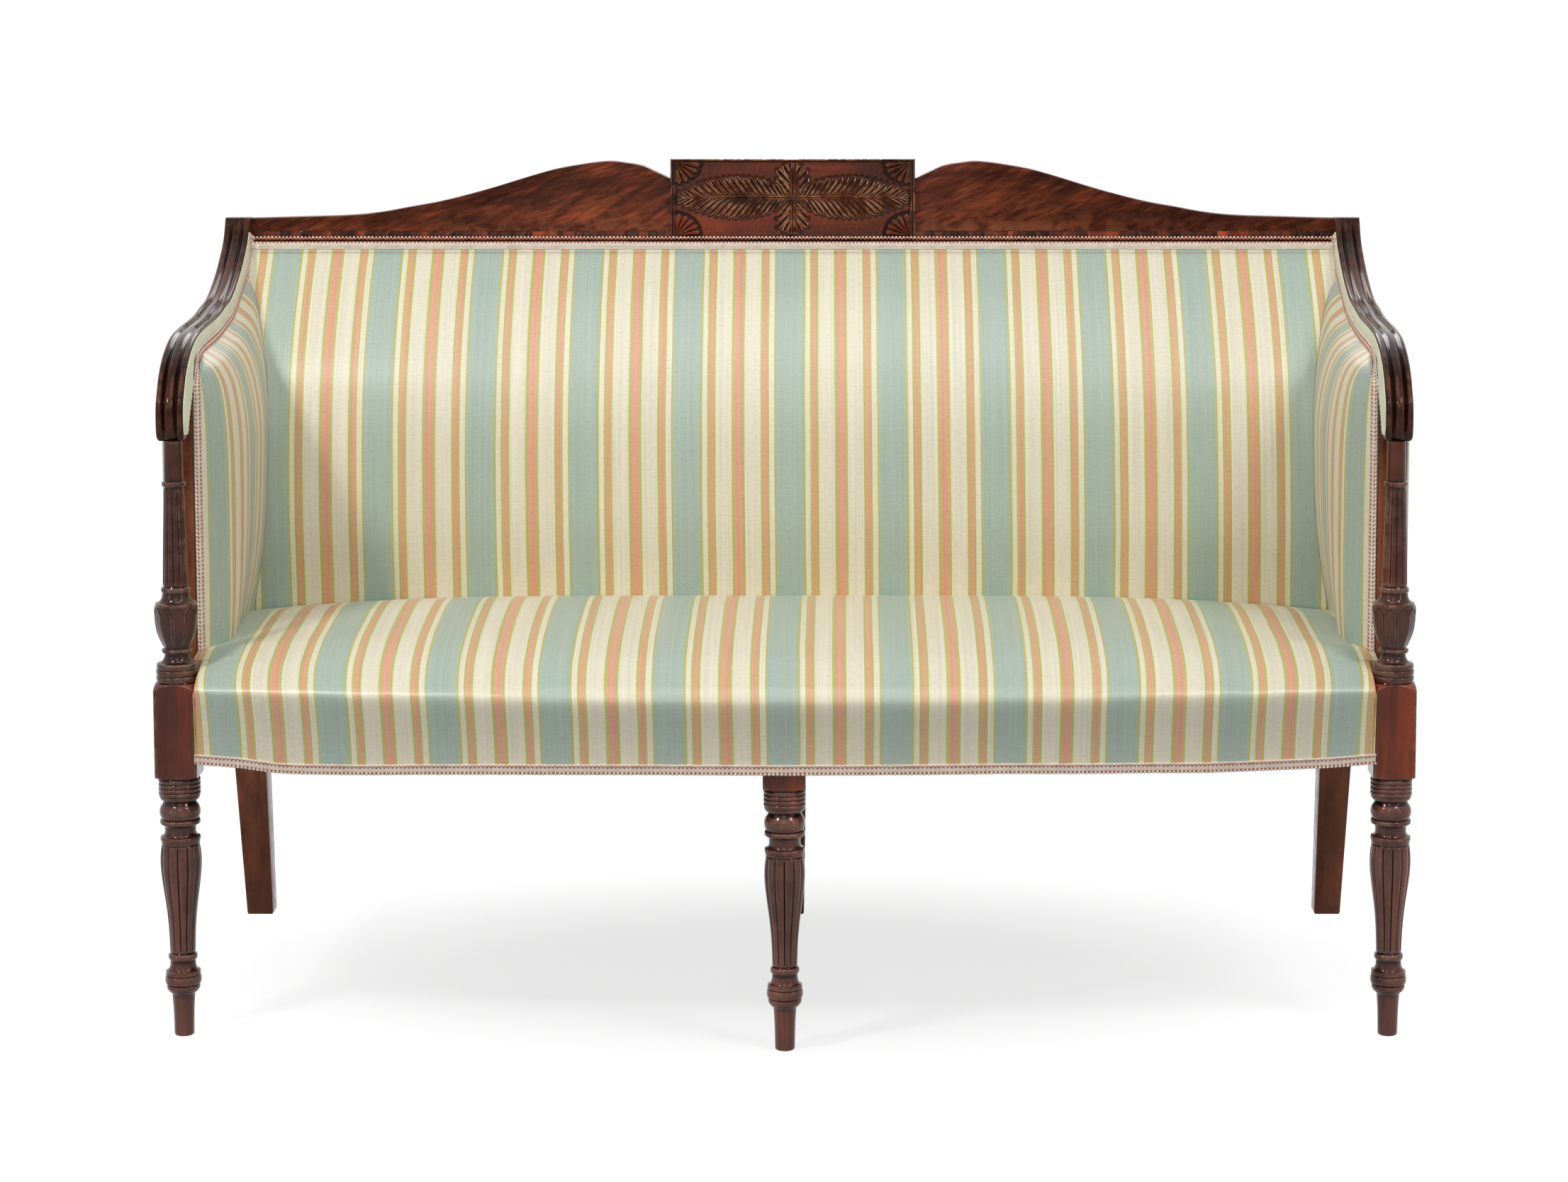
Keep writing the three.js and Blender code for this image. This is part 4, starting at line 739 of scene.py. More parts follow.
SCROLL_ROUND = 0.035
rail_steps = np.concatenate([np.linspace(0, 1 - SCROLL_ROUND, 150),
                             1 - SCROLL_ROUND * (1 - np.sin(np.linspace(0, np.pi / 2, 15)[1:]))])
for side, hand in SIDES:
    points, grain, run, last = [], [], 0.0, None
    for t in rail_steps:
        top, under = swept(TOP_LINE, t), swept(UNDER_LINE, t)
        run += 0.0 if last is None else float(np.linalg.norm(top - last))
        last = top
        ending = max(0.0, (t - 1 + SCROLL_ROUND) / SCROLL_ROUND)
        waist = 1.0 - 0.2 * (1 - math.sqrt(1 - 0.97 * ending ** 2))
        for across, up in RAIL_MOULDING:
            spot = under + (top - under) * (0.5 + (up - 0.5) * (1 - 0.7 * (1 - waist)))
            x = rail_inner(top[0]) + (0.5 + (0.5 - across) * waist) * RAIL_WIDTH
            points.append((side * x, spot[0], spot[1] + GAP))
            grain.append((run * mm, across * RAIL_WIDTH * mm, up * 0.03))
    arm = piece("arm_rail_" + hand + "_moulded", in_place(points),
                rings_to_faces(len(rail_steps), len(RAIL_MOULDING)), rail_finish, 42)
    layer = arm.data.attributes.new("grain", "FLOAT_VECTOR", "POINT")
    layer.data.foreach_set("vector", np.array(grain, np.float32).ravel())
    on_frame(mark_hollows(arm), "mahogany", "arm_rail_" + hand)

# Stiles behind the turned columns: plain mahogany uprights that the inner covers are tacked to.
STILE_INNER, STILE_OUTER, STILE_FRONT, STILE_BACK = 718.0, 750.0, 60.0, 85.0
rail_line = np.array([swept(UNDER_LINE, i / 600) for i in range(601)])[::-1]


def under_rail(y):
    """Underside of the arm rail at a place along it, in front of its end at the crest."""
    return np.interp(y, rail_line[:, 0], rail_line[:, 1])


for side, hand in SIDES:
    edge = sorted((side * STILE_INNER, side * STILE_OUTER))
    heights = np.linspace(RAIL_TOP + GAP, 800.0, 20)
    rings = squared([(*edge, STILE_FRONT, STILE_BACK, z) for z in heights], 1.2)
    rings[-1, :, 2] = under_rail(rings[-1, :, 1]) - 0.35
    stile = ring_piece("arm_front_stile_" + hand + "_dressed", rings, plain_finish, 35)
    on_frame(mark_hollows(stile), "mahogany", "arm_front_stile_" + hand)

# Crest rail: one plank leaning back with the posts, sawn to two humps with a raised middle behind the
# tablet, with the figure of flame veneer and its top edge rounded over.
CREST_FRONT = 500.0 + (CREST_LOW - LEAN_FROM) * LEAN + 2.0
CREST_THICK, CREST_MIDDLE = TOP_DEPTH, 105.5
TABLET_HALF, TABLET_LOW, TABLET_TOP, TABLET_THICK = 165.0, 924.8, 1030.5, 9.0
crest_finish = mahogany("flame_mahogany", "X", (0.028, 0.0056, 0.003), (0.1, 0.021, 0.008), 0.85, figure=11.0,
                        gloss=0.24, flame=0.95, polish=(0.1, 0.03))
CREST_LINE = [(165, 1003), (172, 1007), (185, 1013), (203, 1021), (225, 1025), (243, 1027), (262, 1026),
              (290, 1022), (322, 1016), (361, 1005), (400, 993), (438, 982.5), (477, 973), (516, 966),
              (555, 959), (594, 955), (652, 953), (727, 951), (758, 951)]


def fair(pairs, place):
    """A smooth value through given places, as the frame's curves are drawn."""
    places, values = np.array(pairs, float).T
    slope = np.empty(len(places))
    slope[1:-1] = (values[2:] - values[:-2]) / (places[2:] - places[:-2])
    slope[0] = (values[1] - values[0]) / (places[1] - places[0])
    slope[-1] = (values[-1] - values[-2]) / (places[-1] - places[-2])
    place = np.clip(np.asarray(place, float), places[0], places[-1])
    i = np.clip(np.searchsorted(places, place, side="right") - 1, 0, len(places) - 2)
    span = places[i + 1] - places[i]
    t = (place - places[i]) / span
    return (values[i] + (values[i + 1] - values[i]) * t * t * (3 - 2 * t)
            + t * (1 - t) ** 2 * span * slope[i] - t * t * (1 - t) * span * slope[i + 1])


def crest_section(x, top):
    """Outline of the crest at one place across, its front edge a little more rounded than its back."""
    low, front, back = CREST_LOW, 0.0, CREST_THICK
    ring = [(front, low), (front, low + (top - low) * 0.3), (front, low + (top - low) * 0.7)]
    ring += [(front + 1.6 * (1 - math.cos(a)), top - 1.6 + 1.6 * math.sin(a))
             for a in np.radians([0, 30, 60, 90])]
    ring += [(back - 1.2 + 1.2 * math.sin(a), top - 1.2 + 1.2 * math.cos(a))
             for a in np.radians([0, 30, 60, 90])]
    ring += [(back, low + (top - low) * 0.5), (back, low)]
    return [(x, CREST_FRONT + y + (z - CREST_LOW) * LEAN, z) for y, z in ring]


hump = np.linspace(TABLET_HALF + 0.2, POST_OUTER, 150)
stations = [(-x, float(fair(CREST_LINE, x))) for x in hump[::-1]]
stations += [(x, CREST_LOW + CREST_MIDDLE) for x in np.linspace(0.2 - TABLET_HALF, TABLET_HALF - 0.2, 30)]
stations += [(x, float(fair(CREST_LINE, x))) for x in hump]
rings = [crest_section(x, top) for x, top in stations]
crest = mark_hollows(ring_piece("crest_rail_shaped", rings, crest_finish, 30))
layer = crest.data.attributes["hollow"]
for i in range(len(rings)):
    for j in (3, 4, 5):
        layer.data[i * len(rings[0]) + j].value += 0.07
on_frame(crest, "mahogany", "crest_rail")

# Tablet in the middle of the crest: a separate board of straight-grained mahogany glued on the face and
# carved with crossed palm branches, a bound knot where they cross and a fan in each corner. The ground is
# cut down round the carving, where it is painted darker: old polish and dirt, and painted shade.
tablet_finish = mahogany("tablet_mahogany", "X", (0.02, 0.0032, 0.0014), (0.125, 0.021, 0.0052), 0.9,
                         wear=(0.34, 0.15, 0.07), figure=26.0, gloss=0.15, polish=(0.12, 0.07))
TABLET_FACE = CREST_FRONT - GAP - TABLET_THICK
HALF_HIGH = (TABLET_TOP - TABLET_LOW) / 2
GROUND, PATCH_FOOT, STEM_RISE = -1.6, -1.9, 1.4


def on_tablet(points):
    """Across, up from the tablet's middle and out of its face, to the place on the leaning tablet."""
    points = np.asarray(points, float).reshape(-1, 3)
    z = (TABLET_LOW + TABLET_TOP) / 2 + points[:, 1]
    y = TABLET_FACE + (z - CREST_LOW) * LEAN - points[:, 2]
    return in_place(np.stack([points[:, 0], y, z], 1))


# A leaflet is given by its root, its tip and its width; the tip heights follow the branch's lens outline.
BRANCH_TIPS = [(14, 10), (22, 16), (32, 21), (50, 25.5), (72, 27.5), (92, 26.5), (112, 23), (130, 18),
               (146, 12), (154, 7)]
leaflets = []
for i in range(17):
    tip_x = 15.0 + 8.7 * i
    tip_up = float(fair(BRANCH_TIPS, tip_x))
    lie = math.radians(float(np.interp(tip_x, [15, 60, 110, 154], [58, 55, 48, 30])))
    root_x = max(tip_x - tip_up / math.tan(lie), 9.0 + 0.4 * i)
    for half in (-1, 1):
        for upper in (-1, 1):
            leaflets.append((half * root_x, STEM_RISE + upper * 0.9, half * (tip_x + 1.0 * (upper < 0)),
                             STEM_RISE + upper * tip_up, 7.4 if tip_up > 12 else 5.2))
for half in (-1, 1):
    leaflets.append((half * 144.0, STEM_RISE + 0.4, half * 157.0, STEM_RISE + 2.4, 4.0))
    leaflets.append((half * 144.0, STEM_RISE - 0.4, half * 157.0, STEM_RISE - 2.0, 4.0))
ACANTHUS = [(6, 13, 19, 8), (11, 21, 27, 9.5), (20, 20, 38, 9.5), (29, 11.5, 44, 8.5), (37, 3.5, 48.5, 6.5)]
for root, tip_x, tip_up, width in ACANTHUS:
    for half in (-1, 1):
        for upper in (-1, 1):
            leaflets.append((half * 2.6, upper * root, half * tip_x, upper * tip_up, width))

columns = np.concatenate([np.linspace(-TABLET_HALF, -155, 11), np.linspace(-153, 153, 150),
                          np.linspace(155, TABLET_HALF, 11)])
rows = np.concatenate([np.linspace(-HALF_HIGH, -HALF_HIGH + 6, 9),
                       np.linspace(-HALF_HIGH + 8, HALF_HIGH - 8, 44),
                       np.linspace(HALF_HIGH - 6, HALF_HIGH, 9)])
X, U = np.meshgrid(columns, rows)
from_side = TABLET_HALF - np.abs(X)
from_edge = HALF_HIGH - np.abs(U)
relief = (GROUND + 1.6 * np.exp(-((from_side - 1.6) / 1.3) ** 2)
          + 1.3 * np.exp(-((from_side - 5.4) / 1.2) ** 2))
relief = np.maximum(relief, GROUND + 1.7 * np.exp(-((from_edge - 1.2) / 1.2) ** 2))
near = np.full(X.shape, 99.0)
for x0, u0, x1, u1, _ in leaflets:
    t = np.clip(((X - x0) * (x1 - x0) + (U - u0) * (u1 - u0)) / ((x1 - x0) ** 2 + (u1 - u0) ** 2), 0, 1)
    near = np.minimum(near, np.hypot(X - x0 - t * (x1 - x0), U - u0 - t * (u1 - u0)))
in_fan = np.hypot((TABLET_HALF - 7 - np.abs(X)) / 37.0, (HALF_HIGH - 4 - np.abs(U)) / 33.0)
halo = (0.75 * np.exp(-((np.maximum(near - 2.6, 0)) / 1.5) ** 2)
        + np.exp(-(np.maximum(in_fan - 0.97, 0) / 0.035) ** 2))
relief -= 0.6 * np.clip(halo, 0, 1)
gouged = np.sin(X * 0.9 + 3 * np.sin(U * 0.5)) * np.sin(U * 1.3 + 2 * np.sin(X * 0.23))
relief += 0.12 * gouged * (halo < 0.05)
relief -= 2.5 * (np.minimum(from_side, from_edge) < 0.01)
points, faces = two_skins(np.stack([X, U, relief], 2),
                          np.stack([X, U, np.full_like(X, -TABLET_THICK)], 2))
tablet = mark_hollows(piece("crest_tablet_board", on_tablet(points), faces, tablet_finish, 60))
layer = tablet.data.attributes["hollow"]
dirt_and_shade = values_of(layer.data, "value", 1, np.float32).ravel()
# The cut ground round the carving is painted darker still: painted shade, with old polish and dirt.
dirt_and_shade[:X.size] += (0.075 * np.clip(halo, 0, 1)).ravel().astype(np.float32)
layer.data.foreach_set("value", dirt_and_shade)
on_frame(tablet, "mahogany", "crest_tablet")


def leaflet_model(bend):
    """A leaflet one long, hollowed by a gouge between its raised edges, curling over to a blunt tip."""
    rows, columns = 14, 7
    s = np.linspace(0, 1, rows)[:, None]
    t = np.linspace(-1, 1, columns)[None, :]
    turn = bend * (-0.5 + 2.0 * s - 1.7 * s ** 2)
    x_line = s * 1.03
    y_line = bend * (-0.5 * s + s ** 2 - 0.54 * s ** 3) * 0.3
    width = (0.5 * np.clip((s + 0.05) / 0.4, 0, 1) ** 0.7
             * np.sqrt(np.clip(1.001 - np.clip((s - 0.8) / 0.2, 0, 1) ** 2.4, 0.001, 1)))
    rise = 0.3 + 0.5 * s + 0.4 * np.exp(-((s - 0.86) / 0.12) ** 2)
    raised = rise * (0.4 + 0.6 * np.abs(t) ** 2 - 0.85 * (np.abs(t) > 0.99)) + 0.1
    skins = [np.stack([x_line - 0.25 * width * t * turn, y_line + 0 * t, raised], 2),
             np.stack([x_line - 0.25 * width * t * turn, y_line + 0 * t, -0.3 + 0 * raised], 2)]
    across = width * t
    for skin in skins:
        skin[:, :, 1] = skin[:, :, 1] + across * 0.22
    points, faces = two_skins(*skins)
    return mark_hollows(piece("leaflet", points, faces, tablet_finish, 60), 0)


face_turn = Matrix.Rotation(math.pi / 2 - math.atan(LEAN), 3, "X")
for bend, name in ((1, "up"), (-1, "down")):
    places, turns, sizes = [], [], []
    for x0, u0, x1, u1, width in leaflets:
        if (x0 * (u1 - u0) > 0) != (bend > 0):
            continue
        length, angle = math.hypot(x1 - x0, u1 - u0), math.atan2(u1 - u0, x1 - x0)
        places.append(on_tablet([(x0, u0, GROUND)])[0])
        turns.append(tuple((face_turn @ Matrix.Rotation(angle, 3, "Z")).to_euler("XYZ")))
        sizes.append((length * mm, width * 4.5 * mm, 2.6 * mm))
    carved = copies("tablet_leaflets_" + name, leaflet_model(0.55 * bend), places, turns, sizes,
                    tablet_finish, 0.06, 11)
    on_frame(carved, "mahogany")


def raised_patch(name, across, up, height):
    """Carving laid on the tablet as a patch: a grid across and up with its height over the ground."""
    skins = [np.stack([across, up, z], 2) for z in (GROUND + height, np.full_like(up, PATCH_FOOT))]
    points, faces = two_skins(*skins)
    return mark_hollows(piece(name, on_tablet(points), faces, tablet_finish, 60))


# The stems, with a groove along their middle, the bound knot over their crossing and the corner fans.
s, t = np.meshgrid(np.linspace(-1, 1, 90), np.linspace(-1, 1, 9))
stem_height = ((1.9 - 1.3 * np.exp(-(t / 0.22) ** 2)) * (1 - np.abs(t) ** 4)
               * np.clip((1.02 - np.abs(s)) * 6, 0, 1))
stem = raised_patch("tablet_branch_stem", s * 152.0, STEM_RISE + t * (2.5 - 1.2 * np.abs(s)), stem_height)
on_frame(stem, "mahogany")
bulge = 1 + 0.5 * np.clip((np.abs(s) - 0.82) / 0.18, 0, 1)
stem = raised_patch("tablet_leaf_stem", t * (3.4 - 1.4 * np.abs(s)) * bulge, s * 46.5, stem_height * 1.35)
on_frame(stem, "mahogany")
s, t = np.meshgrid(np.linspace(-1, 1, 45), np.linspace(-1, 1, 31))
round_off = np.sqrt(np.clip(1 - np.abs(s) ** 2.6, 0.0, 1)) * np.sqrt(np.clip(1 - t ** 4, 0.0, 1))
lashing = 1 - 0.22 * np.abs(np.cos(t * math.pi * 2.0)) ** 0.5 - 0.1 * np.abs(np.cos(s * math.pi * 7)) ** 3
knot = raised_patch("tablet_knot", s * 11.5, STEM_RISE - 1.0 + t * 6.0 * (1 - 0.45 * s ** 2),
                    4.6 * round_off * lashing)
on_frame(knot, "mahogany")
RIBS = 5
turn, out = np.meshgrid(np.linspace(0, 1, 61), np.linspace(0, 1, 15))
scallop = 1 - 0.1 * np.abs(np.cos(turn * math.pi * RIBS)) ** 1.5
wedge = 1 - np.abs(2 * ((turn * RIBS) % 1.0) - 1) ** 2.2
for i, (half, upper) in enumerate(((-1, -1), (1, -1), (1, 1), (-1, 1))):
    reach = out * scallop
    fan_x = (TABLET_HALF - 7.5 - 35.5 * reach * np.cos(turn * math.pi / 2)) * half
    fan_up = (HALF_HIGH - 4.0 - 31.5 * reach * np.sin(turn * math.pi / 2)) * upper
    rise = (0.25 + 1.75 * wedge * np.clip(out * 2.2, 0, 1)) * (out < 0.999) - 0.6 * (out > 0.999)
    on_frame(raised_patch("tablet_fan_%d" % i, fan_x, fan_up, rise), "mahogany")

# Crossbanding along the foot of the crest: slips of veneer with upright grain laid side by side, under a
# thin string line, and a small bead below them that covers the edge of the upholstery.
banding_finish = mahogany("crossbanding", "Z", (0.02, 0.004, 0.002), (0.15, 0.03, 0.01), 0.9, figure=40.0,
                           slips=True)
BEAD_HEIGHT, BEAD_THICK, BEAD_HALF = 4.0, 3.0, 728.0
BAND_LOW, BAND_HIGH = CREST_LOW + BEAD_HEIGHT + 0.9, CREST_LOW + 13.4


def slip_model(width, height, thick):
    """A slip of veneer standing on X, its face forward and its arrises softened."""
    steps = np.array([-1, -0.94, -0.5, 0, 0.5, 0.94, 1.0])
    s, t = np.meshgrid(steps, steps)
    depth = thick * (np.clip((1 - np.abs(s)) * 10, 0, 1) * np.clip((1 - np.abs(t)) * 10, 0, 1) * 0.6 + 0.4)
    skins = [np.stack([s * width / 2, -depth, t * height / 2], 2),
             np.stack([s * width / 2, 0 * s + 0.1, t * height / 2], 2)]
    points, faces = two_skins(*skins)
    return piece("slip", points * mm, faces, banding_finish, 40)


chance = random.Random(5)
places, sizes, tones = [], [], []
x = -POST_OUTER + 30.5
while x < POST_OUTER - 30:
    width = chance.choice((7.0, 9.5, 12.0, 15.0, 18.0))
    middle = x + width / 2
    x += width + 0.5
    if abs(middle) > TABLET_HALF + 1:
        z = (BAND_LOW + BAND_HIGH) / 2
        y = CREST_FRONT + (z - CREST_LOW) * LEAN
        places.append(in_place([(middle, y, z + chance.uniform(-0.12, 0.12))])[0])
        sizes.append((width / 10.0, chance.uniform(0.5, 1.5), 1.0))
        tones.append(chance.random())
banding = copies("crest_crossbanding", slip_model(10.0, BAND_HIGH - BAND_LOW, 0.5), places,
                 (-math.atan(LEAN), 0, 0), sizes, banding_finish, tones=tones)
on_frame(banding, "mahogany")


def strip_along(name, low, thick, high, half, finish, from_middle=0.0):
    """A moulding along the foot of the crest with a rounded face, from one end to the other."""
    made = []
    spans = ((-half, half),) if from_middle == 0 else ((-half, -from_middle), (from_middle, half))
    for i, (x0, x1) in enumerate(spans):
        rings = []
        for x in np.linspace(x0, x1, 120):
            ring = [(x, 0.0, low)] + [
                (x, -thick * math.sin(a) ** 0.6, low + (high - low) * (1 - math.cos(a)) / 2)
                for a in np.radians(np.linspace(4, 176, 9))] + [(x, 0.0, high)]
            rings.append([(px, CREST_FRONT - GAP + py + (pz - CREST_LOW) * LEAN, pz) for px, py, pz in ring])
        made.append(mark_hollows(ring_piece(name if i == 0 else name + "_other", rings, finish, 50)))
    return made


on_frame(strip_along("crest_bead_moulding", CREST_LOW + 1.0, BEAD_THICK, CREST_LOW + BEAD_HEIGHT, BEAD_HALF,
                     crest_finish)[0], "mahogany", "crest_bead")
for line in strip_along("crest_string_line", BAND_HIGH + 0.1, 0.7, BAND_HIGH + 1.1, BEAD_HALF, crest_finish,
                        TABLET_HALF + 1.0):
    on_frame(line, "mahogany")

# Striped satin: a green, cream and peach repeat 134.8 mm wide with fine olive lines. Each cover carries a
# cloth map: across counts repeats of the stripe, up counts metres along it.
REPEAT = 134.8
CREAM, GREEN = (0.765, 0.71, 0.55), (0.39, 0.475, 0.4)
PEACH, OLIVE = (0.7, 0.355, 0.225), (0.48, 0.49, 0.105)
STRIPES = [(0.265, GREEN), (0.02, OLIVE), (0.046, CREAM), (0.018, OLIVE), (0.044, PEACH), (0.018, OLIVE),
           (0.159, CREAM), (0.022, OLIVE), (0.082, PEACH), (0.018, OLIVE), (0.159, CREAM), (0.018, OLIVE),
           (0.046, PEACH), (0.016, OLIVE), (0.053, CREAM), (0.016, OLIVE)]
GREEN_MIDDLE = STRIPES[0][0] / 2
satin = Finish("striped_satin")
cloth_map = satin.node("ShaderNodeUVMap", uv_map="cloth")
split = satin.join(cloth_map, satin.node("ShaderNodeSeparateXYZ"))
sway = satin.noise(satin.node("ShaderNodeTexCoord"), 9.0, 2.0, 0.5)
wobble = satin.node("ShaderNodeMath", operation="MULTIPLY_ADD", in_1=0.012, in_2=-0.006)
satin.join(sway, wobble)
across = satin.sums("ADD", split, wobble)
part = satin.node("ShaderNodeMath", operation="FRACT")
satin.join(across, part)
edge, stops = 0.0, []
for width, tone in STRIPES:
    stops.append((edge, tone))
    edge += width
bands = satin.ramp(part, *stops, kind="CONSTANT")
thread = satin.noise(cloth_map, 1.0, 3.0, 0.6, (900.0, 6.0, 1.0))
weft = satin.noise(cloth_map, 1.0, 3.0, 0.6, (3.0, 2600.0, 1.0))
slub = satin.noise(cloth_map, 1.0, 4.0, 0.7, (14.0, 420.0, 1.0))
threads = satin.ramp(thread, (0.3, (0.88, 0.88, 0.88)), (0.7, (1.07, 1.07, 1.07)))
spun = satin.blend(None, bands, threads, mode="MULTIPLY", share=0.9)
slubs = satin.ramp(slub, (0.34, (0.9, 0.9, 0.9)), (0.5, (1, 1, 1)), (0.68, (1.05, 1.05, 1.05)))
spun = satin.blend(None, spun, slubs, mode="MULTIPLY", share=0.9)
drift = satin.noise(cloth_map, 1.0, 3.0, 0.55, (36.0, 2.2, 1.0))
faded = satin.ramp(drift, (0.32, (0.9, 0.93, 0.9)), (0.52, (1, 1, 1)), (0.7, (1.06, 1.05, 1.05)))
satin.colour(satin.blend(None, spun, faded, mode="MULTIPLY", share=1.0))
gloss = satin.ramp(slub, (0.3, (0.3, 0.3, 0.3)), (0.7, (0.4, 0.4, 0.4)))
satin.drive("Roughness", gloss)
satin.constants({"Specular IOR Level": 0.6, "Sheen Weight": 0.15, "Sheen Tint": (0.86, 0.94, 1.0, 1.0),
                 "Sheen Roughness": 0.35, "Anisotropic": 0.5})
satin.drive("Tangent", satin.node("ShaderNodeTangent", direction_type="UV_MAP", uv_map="cloth"))
for ridges in (thread, weft):
    satin.raise_by(ridges, 0.12, 0.0003)


def face_normals(grid):
    """Normals of a grid of points, right-handed across then down."""
    along = np.gradient(grid, axis=1)
    down = np.gradient(grid, axis=0)
    normal = np.cross(along, down)
    return normal / (np.linalg.norm(normal, axis=2, keepdims=True) + 1e-9)


# A tack at every third pair of threads, how fast the stuffing holds the cloth, and the most it may move.
TACKS, GIVE, MOST = 3, 0.38, 3.0


def nearest_in(places, every):
    """Each place among the kept ones, as a number between them."""
    return np.interp(np.arange(places), every, np.arange(len(every)))


def drawn_tight(grid, outward, tacked, seed):
    """The cover as its stuffing fills it: a cloth simulation of every second thread, held where the map
    tacked says, moves the grid by 3 mm at most; between the tacks of an edge the cloth gives a little."""
    kept = [np.unique(np.append(np.arange(0, n, 2), n - 1)) for n in grid.shape[:2]]
    start = grid[np.ix_(*kept)] * mm
    held = tacked[np.ix_(*kept)]
    down, wide = held.shape
    chance = np.random.default_rng(seed)
    normal = face_normals(start) * outward
    start = start + normal * (chance.normal(0.0, 0.00025, held.shape) * (held < 1))[:, :, None]
    first = (np.arange(down - 1)[:, None] * wide + np.arange(wide - 1)[None, :]).ravel()
    quads = np.stack([first, first + wide, first + wide + 1, first + 1], 1)
    mesh = bpy.data.meshes.new("drawn_cloth")
    mesh.from_pydata(start.reshape(-1, 3).tolist(), [], (quads if outward < 0 else quads[:, ::-1]).tolist())
    sheet = linked("drawn_cloth", mesh)
    held_group = sheet.vertex_groups.new(name="held")
    for i, weight in enumerate(held.ravel()):
        held_group.add([i], float(weight), "REPLACE")
    cloth = sheet.modifiers.new("cloth", "CLOTH").settings
    cloth.quality, cloth.mass = 5, 0.2
    cloth.tension_stiffness, cloth.compression_stiffness, cloth.shear_stiffness = 40.0, 40.0, 10.0
    cloth.bending_stiffness = 0.02
    cloth.vertex_group_mass = "held"
    cloth.use_pressure, cloth.uniform_pressure_force = True, 4.0
    cloth.shrink_min = -0.002
    cloth.effector_weights.gravity = 0.0
    for frame_number in range(1, 21):
        bpy.context.scene.frame_set(frame_number)
    settled = bpy.data.meshes.new_from_object(sheet.evaluated_get(bpy.context.evaluated_depsgraph_get()))
    places = values_of(settled.vertices, "co", 3).reshape(down, wide, 3)
    rise = ((places - grid[np.ix_(*kept)] * mm) * normal).sum(axis=2) / mm
    bpy.context.scene.frame_set(1)
    bpy.data.objects.remove(sheet)
    rise = MOST * np.tanh(rise / MOST) * (held < 1)
    for axis in (0, 1, 0, 1):
        evened = rise + 0.25 * (np.roll(rise, 1, axis) + np.roll(rise, -1, axis) - 2 * rise)
        rise[1:-1, 1:-1] = evened[1:-1, 1:-1]
    at_rows, at_columns = nearest_in(grid.shape[0], kept[0]), nearest_in(grid.shape[1], kept[1])
    part = np.stack([np.interp(at_columns, np.arange(wide), row) for row in rise])
    full = np.stack([np.interp(at_rows, np.arange(down), column) for column in part.T]).T
    return grid + face_normals(grid) * outward * full[:, :, None]


def tack_map(shape, top, low, left, right):
    """Where a cover is held: fast in so many rows and columns of each edge and at each tack beside them,
    and by its stuffing, a little, all over."""
    held = np.full(shape, GIVE)
    tacks = np.where(np.arange(shape[1]) // 2 % TACKS == 0, 1.0, GIVE)
    side_tacks = np.where(np.arange(shape[0]) // 2 % TACKS == 0, 1.0, GIVE)
    held[top:top + 2] = tacks
    held[shape[0] - low - 2:shape[0] - low] = tacks
    held[:, left:left + 2] = side_tacks[:, None]
    held[:, shape[1] - right - 2:shape[1] - right] = side_tacks[:, None]
    held[:top] = held[shape[0] - low:] = 1.0
    held[:, :left] = held[:, shape[1] - right:] = 1.0
    return held


def cloth_cover(name, grid, stripe, outward, thick=2.0, finish=satin.material):
    """A cover from its outer face, a grid in millimetres, and its stripe map; the cloth has a thickness."""
    points, faces = two_skins(grid, grid - face_normals(grid) * outward * thick)
    made = piece(name, in_place(points), faces, finish, 60)
    layer = made.data.uv_layers.new(name="cloth")
    corner = values_of(made.data.loops, "vertex_index", 1, int).ravel()
    values = np.vstack([stripe.reshape(-1, 2)] * 2)[corner]
    layer.data.foreach_set("uv", values.astype(np.float32).ravel())
    return made


def run_along(grid, axis):
    """Distance along the grid in one direction, in metres."""
    step = np.linalg.norm(np.diff(grid, axis=axis), axis=2)
    return np.insert(np.cumsum(step, axis=axis), 0, 0.0, axis=axis) * mm


# Arm covers: satin drawn over the pad from the gimp under the arm rail down to the seat, and tucked in.
SEAT_TUCK, SEAT_EDGE, SEAT_CROWN, HEM = 412.0, 428.0, 68.0, 342.0
SEAT_SIDE = 0.42
ARM_SEAT, ARM_SET_IN, ARM_PAD = 455.0, 2.4, 46.0
GIMP_TURN, GIMP_INNER_Y = 785.0, 72.3
NOTCH_HALF, NOTCH_FRONT, NOTCH_BACK = 716.0, 26.6, 62.8
PAD_THICK = [(.155, .12), (.163, .24), (.175, .38), (.2, .57), (.229, .72), (.265, .84), (.303, .905),
             (.363, .96), (.43, .99), (.5, 1), (.6, .985), (.68, .92), (.75, .84), (.888, .62), (1, .3)]
PAD_FULL_FRONT = [(0, 0), (.03, .4), (.07, .65), (.13, .82), (.25, .95), (.4, 1), (.75, 1), (.9, .97),
                  (1, .9)]
PAD_FULL_REAR = [(0, 0), (.03, .38), (.07, .62), (.13, .8), (.22, .94), (.33, 1), (.5, .97), (.65, .91),
                 (.78, .8), (.9, .63), (1, .45)]
ARM_COLUMNS = [(.155, .155), (.169, .169), (.189, .189), (.2255, .2255), (.286, .277), (.389, .355),
               (.527, .458), (.664, .561), (.768, .63), (.845, .682), (.897, .716), (.948, .75), (1, .785)]
steps = np.arange(121) / 120
GIMP_LOW, GIMP_HIGH = 0.02, 0.4
side_line = np.array([swept(UNDER_LINE, t) + (swept(TOP_LINE, t) - swept(UNDER_LINE, t)) * GIMP_LOW
                      for t in steps])[::-1]


def side_edge(y):
    """Height of the gimp's lower edge on the inner side of the arm rail."""
    return np.interp(y, side_line[:, 0], side_line[:, 1])


